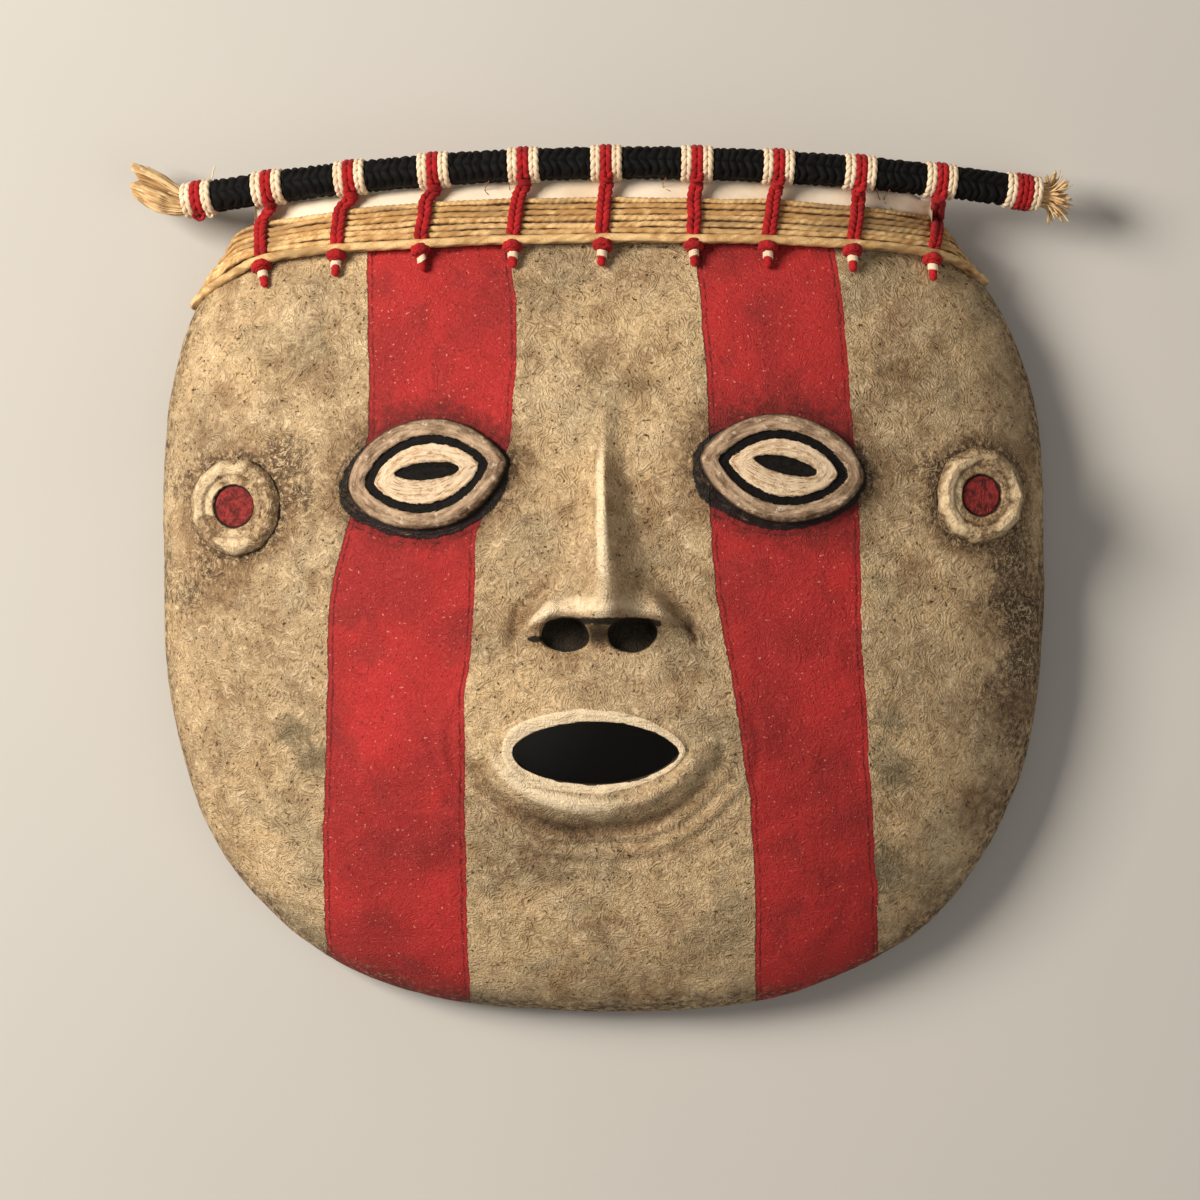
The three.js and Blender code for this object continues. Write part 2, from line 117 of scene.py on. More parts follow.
# Dark smudges on the face, mostly dirt, with painted shade beside the nose: x, y, radius, strength
DIRT_AND_SHADE_SMUDGES = [
    (-25, 29, 9, 0.55), (-30, 19, 9, 0.5), (29, 22, 8, 0.6), (30, 38, 7, 0.35), (76, 22, 10, 0.4),
    (-79, 28, 9, 0.4), (-113, 2, 13, 0.8), (124, -8, 16, 0.95), (118, 8, 11, 0.7), (-118, 44, 10, 0.5),
    (122, -36, 14, 0.8), (-18, -78, 15, 0.55), (-3, 66, 13, 0.4), (95, 31, 10, 0.55), (-92, 34, 8, 0.4),
    (62, -60, 22, 0.4), (4, -121, 26, 0.45), (-8, -24, 12, 0.3), (-44, 95, 22, 0.3), (86, 84, 18, 0.3),
    (-84, 84, 18, 0.3), (0, 96, 30, 0.25), (116, 60, 14, 0.3), (26, -72, 12, 0.4), (-112, -52, 12, 0.4),
    (112, -66, 14, 0.6), (-88, 62, 13, 0.45), (88, 60, 14, 0.5), (64, -92, 22, 0.5), (20, 10, 10, 0.3),
    (-10, 20, 9, 0.35), (-100, -20, 10, 0.4), (98, -100, 12, 0.5), (-62, -110, 14, 0.4), (24, -110, 14, 0.4),
    (-18, 82, 14, 0.4),
]
# Thick black and brown dirt, with fibres standing out of it
CRUSTS = [
    (-92, 36, 9, 1.0), (-87, 26, 7, 0.8), (-116, 33, 7, 0.7), (-116, 4, 8, 0.6), (-122, -3, 7, 0.8),
    (96, 33, 7, 0.8), (95, 20, 6, 0.6), (121, 6, 10, 0.9), (124, -11, 11, 1.0), (125, -24, 10, 1.0),
    (118, -5, 9, 0.8), (115, -32, 8, 0.6), (122, 16, 7, 0.8), (123, -46, 9, 0.7), (-124, 30, 8, 0.7),
    (108, 46, 7, 0.5), (-26, 24, 5, 0.5),
]
GREY_SMUDGES = [
    (-90, -44, 8, 0.9), (-84, -52, 7, 1.0), (84, -40, 8, 0.8), (86, -56, 9, 0.9), (82, -84, 12, 0.9),
    (80, 62, 9, 0.6),
]


# Small helpers
def smooth(t):
    t = np.clip(t, 0, 1)
    return t * t * (3 - 2 * t)


def mix(a, b, t):
    return a + (b - a) * t


def hump(distance, wide):
    return np.exp(-((distance / wide) ** 2))


def unit(v):
    return v / np.maximum(np.linalg.norm(v, axis=-1, keepdims=True), 1e-9)


def turns(number):
    return np.linspace(0, 2 * math.pi, number, endpoint=False)


def strongest(*marks):
    return np.maximum.reduce(np.broadcast_arrays(*marks))


def lattice(i, j, k, seed):
    n = (i * 374761393 + j * 668265263 + k * 1440662683 + seed * 974634777) & 0xFFFFFFFF
    n = ((n ^ (n >> 13)) * 1274126177) & 0xFFFFFFFF
    return ((n ^ (n >> 16)) & 0xFFFF) / 32767.5 - 1


def noise(points, size, seed=0):
    """Smooth noise from -1 to 1 with bumps about size millimetres across."""
    q = np.asarray(points) / size
    cell = np.floor(q).astype(np.int64)
    t = smooth(q - cell)
    total = 0
    for corner in range(8):
        bits = np.array([corner & 1, corner >> 1 & 1, corner >> 2])
        weight = np.prod(np.where(bits, t, 1 - t), axis=-1)
        total = total + weight * lattice(*np.moveaxis(cell + bits, -1, 0), seed)
    return total


def cloud(points, size, seed=0):
    """Noise with finer noise on it, from about -1 to 1."""
    finer = 0.55 * noise(points, size / 2.1, seed + 1)
    finest = 0.35 * noise(points, size / 4.3, seed + 2)
    return (noise(points, size, seed) + finer + finest) / 1.4


def tones(points):
    """Slow changes of the clay's colour over a surface, each from 0 to 1."""
    spans = dict(mottle=(34, -0.4, 0.4), olive=(17, 0.0, 0.6), brown=(11, 0.05, 0.6), bright=(13, 0.12, 0.6))
    found = {}
    for k, (name, (size, low, high)) in enumerate(spans.items()):
        found[name] = smooth((cloud(points, size, 100 + 10 * k) - low) / (high - low))
    return found


def spots(x, y, marks):
    """The strongest of some soft round marks, each given as x, y, radius and strength."""
    found = np.zeros_like(x)
    for mark_x, mark_y, size, strength in marks:
        found = np.maximum(found, strength * hump(np.hypot(x - mark_x, y - mark_y), size))
    return found


# The dome and what lies on it
def share(x, y, inset=0.0):
    """How far out a point lies: 0 in the middle and 1 on the outline. The upper right corner is softer."""
    above = y >= OUTLINE_Y
    dx, dy = x - OUTLINE_X, y - OUTLINE_Y
    right = smooth(2 * dx / np.maximum(np.hypot(dx, dy), 1e-6))
    n = np.where(above, mix(CORNER_ABOVE, CORNER_RIGHT, right), CORNER_BELOW)
    px = np.abs(dx) / (HALF_WIDTH - inset)
    py = np.abs(dy) / (np.where(above, ABOVE, BELOW) - inset)
    return (px**n + py**n) ** (1 / n)


def outline_point(angle, inset=0.0):
    c, s = np.cos(angle), np.sin(angle)
    reach = 1 / share(OUTLINE_X + c, OUTLINE_Y + s, inset)
    return OUTLINE_X + reach * c, OUTLINE_Y + reach * s


def dome_height(x, y, inset=0.0):
    return WALL + (RISE - inset) * np.sqrt(np.maximum(0, 1 - share(x, y, inset) ** 2))


def dome_normal(x, y):
    step = 0.05
    gx = (share(x + step, y) ** 2 - share(x - step, y) ** 2) / (2 * step)
    gy = (share(x, y + step) ** 2 - share(x, y - step) ** 2) / (2 * step)
    return unit(np.stack([gx, gy, 2 * (dome_height(x, y) - WALL) / RISE**2], -1))


def over(x, y, lift):
    """Points over the dome, lifted off it along its normal."""
    x, y, lift = np.broadcast_arrays(np.asarray(x, float), np.asarray(y, float), np.asarray(lift, float))
    beyond = np.maximum(1, share(x, y))
    px, py = OUTLINE_X + (x - OUTLINE_X) / beyond, OUTLINE_Y + (y - OUTLINE_Y) / beyond
    return np.stack([px, py, dome_height(px, py)], -1) + dome_normal(px, py) * lift[..., None]


# Skins: closed surfaces from a grid of points, gathered into pieces
def skin(grid, closed=False, **fields):
    """A closed surface from rows of closed loops, with named values per point."""
    rows, columns = grid.shape[:2]
    i, j = np.meshgrid(np.arange(rows if closed else rows - 1), np.arange(columns), indexing="ij")
    here, below = i * columns, (i + 1) % rows * columns
    beside = (j + 1) % columns
    quads = np.stack([here + j, here + beside, below + beside, below + j], -1).reshape(-1, 4)
    points = grid.reshape(-1, 3)
    triangles = np.zeros((0, 3), int)
    fields = {name: np.broadcast_to(value, (rows, columns)).reshape(-1) for name, value in fields.items()}
    if not closed:
        loop = np.arange(columns)
        turn = (loop + 1) % columns
        first, last = rows * columns, rows * columns + 1
        bottom = (rows - 1) * columns
        points = np.vstack([points, grid[0].mean(0), grid[-1].mean(0)])
        fields = {name: np.append(value, [value[0], value[-1]]) for name, value in fields.items()}
        start = np.stack([turn, loop, np.full(columns, first)], -1)
        end = np.stack([bottom + loop, bottom + turn, np.full(columns, last)], -1)
        triangles = np.vstack([start, end])
    a, b, c, d = (points[quads[:, k]] for k in range(4))
    volume = np.einsum("ij,ij", a, np.cross(b, c)) + np.einsum("ij,ij", a, np.cross(c, d))
    p, q, r = (points[triangles[:, k]] for k in range(3))
    volume += np.einsum("ij,ij", p, np.cross(q, r))
    if volume < 0:
        quads, triangles = quads[:, ::-1], triangles[:, ::-1]
    return dict(points=points, quads=quads, triangles=triangles, fields=fields)


def build(name, skins, material, nodes=()):
    """Makes one piece of skins, which rides on the mask and stands for the given solids."""
    points, faces, fields, start = [], [], {}, 0
    for part in skins:
        points.append(part["points"])
        faces += (part["quads"] + start).tolist() + (part["triangles"] + start).tolist()
        for key in part["fields"]:
            fields.setdefault(key, []).append(part["fields"][key])
        start += len(part["points"])
    mesh = bpy.data.meshes.new(name)
    mesh.from_pydata((np.vstack(points) * METRES_PER_MM).tolist(), [], faces)
    for key, values in fields.items():
        mesh.attributes.new(key, "FLOAT", "POINT").data.foreach_set(
            "value", np.concatenate(values).astype(np.float32)
        )
    mesh.materials.append(material)
    mesh.shade_smooth()
    piece = bpy.data.objects.new(name, mesh)
    bpy.context.collection.objects.link(piece)
    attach(piece, "root")
    if nodes:
        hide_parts(*nodes)
    return piece


def dress(node, skins, material):
    build(node + "_skin", skins, material, [node])


def spline(points, step):
    """Points every step millimetres along a smooth curve through the given ones."""
    p = np.asarray(points, float)
    p = np.vstack([2 * p[0] - p[1], p, 2 * p[-1] - p[-2]])
    t = np.linspace(0, 1, 24, endpoint=False)[:, None]
    fine = []
    for a, b, c, d in zip(p[:-3], p[1:-2], p[2:-1], p[3:]):
        fine.append(
            0.5 * (2 * b + (c - a) * t + (2 * a - 5 * b + 4 * c - d) * t**2 + (3 * b - a - 3 * c + d) * t**3)
        )
    fine = np.vstack(fine + [p[-2:-1]])
    length = np.append(0, np.cumsum(np.linalg.norm(np.diff(fine, axis=0), axis=1)))
    even = np.linspace(0, length[-1], max(3, int(length[-1] / step) + 1))
    return np.stack([np.interp(even, length, fine[:, k]) for k in range(3)], -1)


def path_frames(path, facing, closed=False):
    """Along, across and out directions at each point of a path."""
    ahead = np.roll(path, -1, 0) - np.roll(path, 1, 0) if closed else np.gradient(path, axis=0)
    along = unit(ahead)
    facing = np.broadcast_to(facing, path.shape)
    out = unit(facing - along * np.sum(facing * along, -1, keepdims=True))
    return along, np.cross(along, out), out


def yarn(
    path, facing, radius, plies=3, pitch=5.0, depth=0.22, sides=12, wide=1.0, closed=False, seed=0,
    packed_shade=0.0, tone=0.0,
):
    """A twisted yarn along a path: plies wound round each other, once every pitch millimetres.

    The packed amount paints shade on the two flanks of a yarn that lies tight among others, the groove
    between the plies is painted shade as well, and tone darkens the whole yarn.
    """
    _, across, out = path_frames(path, facing, closed)
    step = np.linalg.norm(np.diff(path, axis=0), axis=1)
    length = np.append(0, np.cumsum(step))[:, None]
    if closed:
        around = length[-1, 0] + step[-1]
        pitch = math.copysign(around / max(1, round(around / abs(pitch))), pitch)
    angle = turns(sides)[None, :]
    phase = angle - 2 * math.pi * length / pitch
    lobe = np.abs(np.cos(plies / 2 * phase)) ** 0.7
    spot = np.stack(
        np.broadcast_arrays(length * 0.3 + 17 * seed, 2.4 * np.cos(phase), 2.4 * np.sin(phase)), -1
    )
    fibre = noise(spot, 1.0, seed) + 0.6 * noise(spot * 2.3, 1.0, seed + 1)
    size = radius * (1 - depth + depth * lobe) * (1 + 0.05 * fibre)
    if not closed:
        rest = np.minimum(length, length[-1] - length) / radius
        size = size * np.sqrt(np.clip(1 - (1 - np.clip(rest, 0, 1)) ** 2, 0.02, 1))
    grid = path[:, None] + across[:, None] * (wide * size * np.cos(angle))[..., None]
    grid = grid + out[:, None] * (size * np.sin(angle))[..., None]
    groove = 1 - lobe
    if packed_shade:
        uneven = 1 + 0.5 * noise(spot * [0.7, 0, 0], 1.0, seed + 2)
        flank = smooth((np.abs(np.cos(angle)) - 0.76) / 0.22) * uneven
        groove = np.maximum(groove * 0.4, packed_shade * flank)
    return skin(grid, closed=closed, groove=groove, fibre=fibre + tone)


def circle(centre, axis, facing, radius, count):
    """Points of a circle round an axis, from its far side, and the outward direction at each."""
    axis = unit(np.asarray(axis, float))
    first = unit(axis * np.dot(facing, axis) - np.asarray(facing, float))
    second = np.cross(axis, first)
    angle = turns(count)[:, None]
    out = first * np.cos(angle) + second * np.sin(angle)
    return centre + radius * out, out


def yarn_ring(
    centre, axis, facing, radius, thick, pitch, wide=1.0, count=84, plies=2, sides=10, depth=0.34, seed=0
):
    path, out = circle(centre, axis, facing, radius, count)
    return yarn(
        path, out, thick, plies=plies, pitch=pitch, depth=depth, sides=sides, wide=wide, closed=True,
        seed=seed,
    )


# Materials, all from nodes. Sizes are in millimetres.
def srgb(r, g, b):
    return tuple(
        (c / 255 / 12.92) if c <= 10 else ((c / 255 + 0.055) / 1.055) ** 2.4
        for c in (r, g, b)
    ) + (1.0,)


class Shader:
    """A material whose nodes are added by short calls. Each call returns a socket."""

    def __init__(self, name, roughness=0.85, sheen=0.0, specular=0.3):
        self.material = bpy.data.materials.new(name)
        self.material.use_nodes = True
        self.tree = self.material.node_tree
        self.surface = self.tree.nodes["Principled BSDF"]
        self.surface.inputs["Roughness"].default_value = roughness
        self.surface.inputs["Specular IOR Level"].default_value = specular
        self.surface.inputs["Sheen Weight"].default_value = sheen
        self.surface.inputs["Sheen Roughness"].default_value = 0.6
        place = self.tree.nodes.new("ShaderNodeTexCoord").outputs["Object"]
        self.place = self.node(
            "ShaderNodeVectorMath", [place], operation="SCALE", Scale=1 / METRES_PER_MM
        ).outputs[0]

    def node(self, kind, inputs=(), operation=None, **named):
        made = self.tree.nodes.new(kind)
        if operation:
            made.operation = operation
        for key, value in list(enumerate(inputs)) + list(named.items()):
            if isinstance(value, bpy.types.NodeSocket):
                self.tree.links.new(value, made.inputs[key])
            elif value is not None:
                made.inputs[key].default_value = value
        return made

    def math(self, operation, a, b=None, clamp=False):
        made = self.node("ShaderNodeMath", [a, b], operation=operation)
        made.use_clamp = clamp
        return made.outputs[0]

    def times(self, a, b):
        return self.math("MULTIPLY", a, b)

    def plus(self, a, b):
        return self.math("ADD", a, b)

    def minus(self, a, b):
        return self.math("SUBTRACT", a, b)

    def flip(self, value):
        """1 where a value is 0, and 0 where it is 1."""
        return self.minus(1.0, value)

    def torn(self, value, grain, amount):
        """A value whose level lines are torn by noise."""
        return self.plus(value, self.times(self.minus(grain, 0.5), amount))

    def tint(self, colour, mask, amount, paint):
        """A colour under some paint, which lies where the mask is 1."""
        return self.blend(self.times(mask, amount), colour, srgb(*paint))

    def noise(self, size, detail=3.0, rough=0.55, bend=0.0, stretch=None, shift=0.0, place=None):
        place = place or self.place
        if stretch:
            place = self.node("ShaderNodeVectorMath", [place, stretch], operation="MULTIPLY").outputs[0]
        if shift:
            place = self.node(
                "ShaderNodeVectorMath", [place, (shift, -shift, shift)], operation="ADD"
            ).outputs[0]
        made = self.node(
            "ShaderNodeTexNoise", Vector=place, Scale=1 / size, Detail=detail, Roughness=rough,
            Distortion=bend,
        )
        return made.outputs["Fac"]

    def step(self, value, low, high):
        made = self.node("ShaderNodeMapRange", Value=value)
        made.interpolation_type = "SMOOTHSTEP"
        made.inputs["From Min"].default_value = low
        made.inputs["From Max"].default_value = high
        return made.outputs[0]

    def field(self, name):
        made = self.tree.nodes.new("ShaderNodeAttribute")
        made.attribute_name = name
        return made.outputs["Fac"]

    def around_eye(self):
        """A place that is drawn out along the eye's outline."""
        return self.node(
            "ShaderNodeCombineXYZ", [self.field(name) for name in ("eye_in", "eye_x", "eye_y")]
        ).outputs[0]

    def blend(self, share, a, b, mode="MIX"):
        made = self.tree.nodes.new("ShaderNodeMix")
        made.data_type = "RGBA"
        made.blend_type = mode
        for key, value in ((0, share), (6, a), (7, b)):
            if isinstance(value, bpy.types.NodeSocket):
                self.tree.links.new(value, made.inputs[key])
            else:
                made.inputs[key].default_value = value
        return made.outputs[2]

    def thread(self, size, width, bend=2.0, shift=0.0):
        """Thin curly lines, 1 on the line and 0 off it."""
        off = self.math("ABSOLUTE", self.minus(self.noise(size, 1.0, 0.4, bend, shift=shift), 0.5))
        return self.flip(self.step(off, 0.0, width))

    def waves(self, size, lines, shift=0.0):
        """Bunches of curved parallel lines, from -1 to 1, that follow the levels of a soft noise."""
        return self.math(
            "SINE", self.times(self.noise(size, 1.0, 0.35, 0.6, shift=shift), lines * 2 * math.pi)
        )

    def bump(self, height, distance, strength):
        return self.node(
            "ShaderNodeBump", Height=height, Distance=distance * METRES_PER_MM, Strength=strength
        ).outputs[0]

    def finish(self, colour, normal=None, roughness=None):
        self.tree.links.new(colour, self.surface.inputs["Base Color"])
        if normal:
            self.tree.links.new(normal, self.surface.inputs["Normal"])
        if roughness:
            self.tree.links.new(roughness, self.surface.inputs["Roughness"])
        return self.material


def clay_colour(s):
    """Clay slip over curly fibre: mottled tan with pale curls lightened by painted highlight, painted shade
    in the hollows beside them, dark pits, and their height.
    """
    colour = s.blend(s.field("mottle"), srgb(206, 176, 133), srgb(180, 153, 117))
    colour = s.tint(colour, s.field("olive"), 0.6, (146, 131, 103))
    colour = s.tint(colour, s.field("brown"), 0.5, (126, 92, 58))
    colour = s.tint(colour, s.field("bright"), 0.4, (224, 197, 156))
    grain = s.noise(0.6, 2, 0.6)
    lump = s.noise(4.4, 4, 0.65, shift=19)
    wave = s.waves(5.4, 10)
    broken = s.step(s.noise(2.2, 2, shift=12), 0.36, 0.58)
    curls = s.math("MAXIMUM", s.thread(2.1, 0.1), s.times(s.step(wave, 0.1, 0.95), broken))
    shaded_hollows = s.times(s.step(wave, -0.1, -0.95), broken)
    # the curls are pale fibre, lightened further as painted highlight
    pale_and_highlight = s.times(curls, s.step(lump, 0.42, 0.66))
    colour = s.tint(colour, pale_and_highlight, 0.52, (240, 217, 178))
    # painted shade in the hollows beside the curls
    dark = s.times(shaded_hollows, s.step(lump, 0.6, 0.4))
    colour = s.tint(colour, dark, 0.52, (94, 69, 45))
    colour = s.tint(colour, s.step(grain, 0.42, 0.72), 0.35, (112, 88, 60))
    pits = s.times(s.step(s.noise(1.05, 1, 0.3, shift=7), 0.68, 0.74), s.step(lump, 0.6, 0.46))
    colour = s.tint(colour, pits, 0.85, (56, 40, 27))
    height = s.minus(s.times(curls, 0.55), s.times(shaded_hollows, 0.5))
    height = s.plus(height, s.times(grain, 0.7))
    height = s.plus(height, s.times(lump, 1.7))
    return colour, s.minus(height, s.times(pits, 0.8)), grain, curls


def face_material():
    s = Shader("painted_face", roughness=0.86)
    clay, height, grain, curls = clay_colour(s)
    fine = s.noise(2.3, 4, 0.68, shift=61)
    ragged = s.noise(1.6, 3, 0.6, shift=5)

    def cover(field, low, high, shake=1.2, grainy=fine):
        """Where a field, torn by noise, rises from low to high."""
        return s.step(s.torn(s.field(field), grainy, shake), low, high)

    # dirt, and painted shade under the lower lip, round the nose and on the septum
    clay = s.tint(clay, cover("dirt_and_shade", 0.12, 0.8), 0.7, (114, 84, 55))
    clay = s.tint(clay, cover("dirt_and_shade", 0.6, 1.15), 0.85, (58, 44, 31))
    clay = s.tint(clay, cover("grey", 0.35, 0.9), 0.7, (94, 85, 63))
    # thick old dirt in black flakes, with bare pale fibres standing out of it
    crust = cover("crust", 0.36, 0.86, 1.6)
    clay = s.tint(clay, crust, 0.78, (74, 55, 38))
    bare = s.math("MULTIPLY", s.times(curls, s.step(ragged, 0.4, 0.56)), s.field("crust"), clamp=True)
    clay = s.tint(clay, bare, 0.8, (224, 196, 154))
    # pale parts: the worn ridge of the nose, the painted lips, and painted highlight on the lower lip's left
    # and on the nose's rolled edge, brushed along
    brushed = s.noise(1.5, 4, 0.65, stretch=(0.22, 1.3, 1), shift=27)
    worn = s.times(cover("pale_and_highlight", 0.25, 0.7, 0.5), s.step(brushed, 0.2, 0.5))
    clay = s.tint(clay, worn, 0.92, (232, 211, 178))
    clay = s.tint(clay, s.times(worn, s.step(brushed, 0.52, 0.66)), 0.5, (176, 146, 108))
    # red paint, cloudy and specked, with a dark outline and a broken dark line just inside it
    red = s.blend(s.field("mottle"), srgb(178, 42, 42), srgb(148, 36, 36))
    red = s.tint(red, s.field("brown"), 0.4, (112, 34, 32))
    red = s.tint(red, curls, 0.16, (206, 80, 70))
    red = s.tint(red, s.step(grain, 0.45, 0.75), 0.35, (98, 22, 22))
    speck = s.noise(0.85, 1, 0.3, shift=87)
    red = s.tint(red, s.step(speck, 0.71, 0.77), 0.6, (228, 146, 126))
    red = s.tint(red, s.step(speck, 0.3, 0.25), 0.6, (62, 18, 17))
    stripe = s.torn(s.field("stripe"), ragged, 1.1)
    line = s.math("ABSOLUTE", s.minus(stripe, 1.5))
    line = s.times(s.flip(s.step(line, 0.12, 0.45)), s.step(fine, 0.36, 0.56))
    outer = s.flip(s.step(stripe, 0.2, 0.6))
    red = s.tint(red, s.math("MAXIMUM", line, s.times(outer, 0.6)), 0.75, (72, 18, 18))
    # dirt and painted shade darken the red as well
    red = s.tint(red, cover("dirt_and_shade", 0.35, 1.1), 0.85, (82, 28, 25))
    painted = s.step(stripe, -0.12, 0.16)
    colour = s.blend(painted, clay, red)
    height = s.times(height, s.flip(s.times(painted, 0.6)))
    height = s.times(height, s.flip(s.times(worn, 0.5)))
    height = s.plus(height, s.times(crust, 0.9))
    # black paint in the nostrils, and painted shade under the nose's edge, under the holding cord, round the
    # ears' feet and in the mouth's throat; and the dark bed that holds each eye, widened below as painted
    # shadow
    colour = s.tint(colour, cover("black_paint_and_shade", 0.4, 0.62, 0.9), 0.95, (19, 15, 12))
    bed_and_shadow = s.torn(s.field("bed_and_shadow"), fine, 1.7)
    scored = s.math("ABSOLUTE", s.minus(bed_and_shadow, -1.3))
    scored = s.times(s.flip(s.step(scored, 0.1, 0.4)), s.step(ragged, 0.46, 0.62))
    colour = s.tint(colour, scored, 0.7, (52, 22, 18))
    in_bed_and_shadow = s.step(bed_and_shadow, -0.2, 0.25)
    strokes = s.noise(1.4, 4, 0.7, place=s.around_eye(), shift=3)
    pitch = s.blend(s.step(strokes, 0.55, 0.7), srgb(13, 10, 8), srgb(72, 50, 32))
    # the palest strokes on the pitch are painted highlight
    pitch = s.tint(pitch, s.step(strokes, 0.68, 0.78), 0.8, (188, 150, 108))
    colour = s.blend(s.times(in_bed_and_shadow, 0.96), colour, pitch)
    height = s.plus(height, s.times(s.times(strokes, in_bed_and_shadow), 2.2))
    # the worn edge, and bare fibre inside
    colour = s.blend(
        s.times(s.field("edge"), s.times(s.step(fine, 0.34, 0.66), 0.9)), colour, srgb(54, 39, 27)
    )
    colour = s.blend(
        s.times(s.field("edge"), s.times(s.step(ragged, 0.54, 0.68), 0.4)), colour, srgb(204, 174, 130)
    )
    inside = s.blend(s.step(fine, 0.35, 0.65), srgb(92, 71, 48), srgb(66, 50, 34))
    inside = s.tint(inside, curls, 0.4, (130, 104, 72))
    colour = s.blend(s.field("inside"), colour, inside)
    gloss = s.minus(0.86, s.times(in_bed_and_shadow, 0.26))
    return s.finish(colour, s.bump(height, 0.34, 0.9), gloss)


def eye_material():
    s = Shader("painted_eye", specular=0.14)
    grain = s.noise(0.6, 2, 0.6)
    streak = s.noise(1.9, 5, 0.7, place=s.around_eye(), shift=13)
    fleck = s.noise(2.2, 4, 0.7, shift=37)
    rim = s.blend(s.step(streak, 0.36, 0.62), srgb(190, 162, 134), srgb(132, 107, 84))
    rim = s.tint(rim, s.step(streak, 0.56, 0.7), 0.8, (84, 63, 46))
    rim = s.tint(rim, s.step(fleck, 0.42, 0.32), 0.75, (218, 198, 174))
    # darker towards the plate's edge and its lower right: scorch, and painted shade
    scorched_and_shaded = s.times(s.field("edge_scorch_and_shade"), s.step(fleck, 0.36, 0.62))
    rim = s.tint(rim, scorched_and_shaded, 0.85, (58, 39, 25))
    shake = s.times(s.minus(s.noise(1.8, 3, 0.6, shift=17), 0.5), 1.4)
    cream = s.blend(s.step(streak, 0.42, 0.62), srgb(233, 209, 178), srgb(194, 160, 124))
    cream = s.tint(cream, s.step(streak, 0.57, 0.66), 0.75, (130, 94, 62))
    cream = s.tint(cream, s.step(grain, 0.5, 0.75), 0.3, (150, 118, 86))
    black = s.blend(s.step(grain, 0.4, 0.7), srgb(11, 9, 8), srgb(24, 20, 17))
    in_ring = s.step(s.plus(s.field("ring"), shake), -0.08, 0.12)
    in_cream = s.step(s.plus(s.field("cream"), shake), -0.08, 0.12)
    in_pupil = s.step(s.plus(s.field("pupil"), s.times(shake, 0.6)), -0.08, 0.1)
    round_pupil = s.step(s.plus(s.field("pupil"), shake), -0.9, -0.1)
    cream = s.tint(cream, s.times(round_pupil, s.step(fleck, 0.4, 0.6)), 0.6, (112, 76, 46))
    colour = s.blend(in_ring, rim, black)
    colour = s.blend(in_cream, colour, cream)
    colour = s.blend(in_pupil, colour, s.blend(s.step(grain, 0.4, 0.7), srgb(14, 12, 10), srgb(30, 25, 21)))
    # the sides of the plate and the edge of its top are darkened towards the shell: painted shade
    colour = s.tint(colour, s.field("foot_shade"), 0.94, (26, 18, 13))
    height = s.plus(s.times(streak, 1.8), s.times(in_cream, 1.2))
    height = s.minus(s.plus(height, s.times(grain, 0.6)), s.times(in_pupil, 1.5))
    return s.finish(colour, s.bump(height, 0.32, 0.9), s.minus(0.84, s.times(streak, 0.3)))


def ear_material():
    s = Shader("ear_disc_clay", roughness=0.82)
    clay, height, _, _ = clay_colour(s)
    fine = s.noise(2.0, 4, 0.68, shift=43)
    flake_and_highlight = s.field("flake_and_highlight")
    # pale flaked plaster, with painted highlight on the outer crest
    clay = s.blend(s.times(flake_and_highlight, s.step(fine, 0.3, 0.62)), clay, srgb(222, 198, 160))
    clay = s.blend(
        s.math("MULTIPLY", s.step(fine, 0.4, 0.62), s.minus(0.85, flake_and_highlight), clamp=True), clay,
        srgb(110, 82, 54),
    )
    clay = s.blend(s.times(s.field("crack"), s.step(fine, 0.36, 0.56)), clay, srgb(52, 37, 25))
    # the disc's sides are darkened towards the shell: painted shade
    clay = s.blend(s.times(s.field("foot_shade"), s.step(fine, 0.24, 0.52)), clay, srgb(52, 38, 26))
    red = s.blend(s.step(fine, 0.4, 0.64), srgb(146, 46, 43), srgb(80, 26, 24))
    shake = s.times(s.minus(s.noise(1.6, 3, 0.6, shift=17), 0.5), 0.9)
    middle = s.plus(s.field("middle"), shake)
    colour = s.blend(s.step(middle, -0.55, -0.15), clay, srgb(40, 24, 18))
    colour = s.blend(s.step(middle, 0.15, 0.4), colour, red)
    height = s.plus(s.times(height, 0.6), s.times(fine, 1.6))
    return s.finish(colour, s.bump(height, 0.32, 0.9))


def yarn_material(name, light, dark, shade_colour, stain=None, sheen=0.1, roughness=0.9, specular=0.2):
    """Twisted yarn or cord: colour varies with its fibres, with painted shade between the plies and on packed
    flanks.
    """
    s = Shader(name, roughness=roughness, sheen=sheen, specular=specular)
    fibre = s.plus(s.times(s.field("fibre"), 0.22), s.noise(5, 4, 0.6))
    colour = s.blend(s.step(fibre, 0.28, 0.76), light, dark)
    fuzz = s.noise(0.42, 3, 0.7, shift=9)
    colour = s.blend(s.times(s.step(fuzz, 0.45, 0.75), 0.4), colour, dark)
    if stain:
        old = s.step(s.noise(15, 4, 0.65, stretch=(0.45, 2.5, 1), shift=3), 0.47, 0.62)
        colour = s.blend(s.times(old, 0.75), colour, stain)
    # painted shade in the grooves between plies and between packed rows
    colour = s.blend(s.step(s.field("groove"), 0.4, 0.95), colour, shade_colour)
    return s.finish(colour, s.bump(fuzz, 0.16, 0.8))


def hide_material():
    s = Shader("white_hide", roughness=0.6, specular=0.35)
    colour = s.blend(s.step(s.noise(16, 4, 0.6), 0.4, 0.7), srgb(246, 230, 208), srgb(228, 206, 178))
    colour = s.tint(colour, s.step(s.noise(4, 5, 0.7, shift=5), 0.62, 0.78), 0.4, (184, 146, 108))
    return s.finish(colour, s.bump(s.noise(2.2, 4, 0.6), 0.12, 0.6))


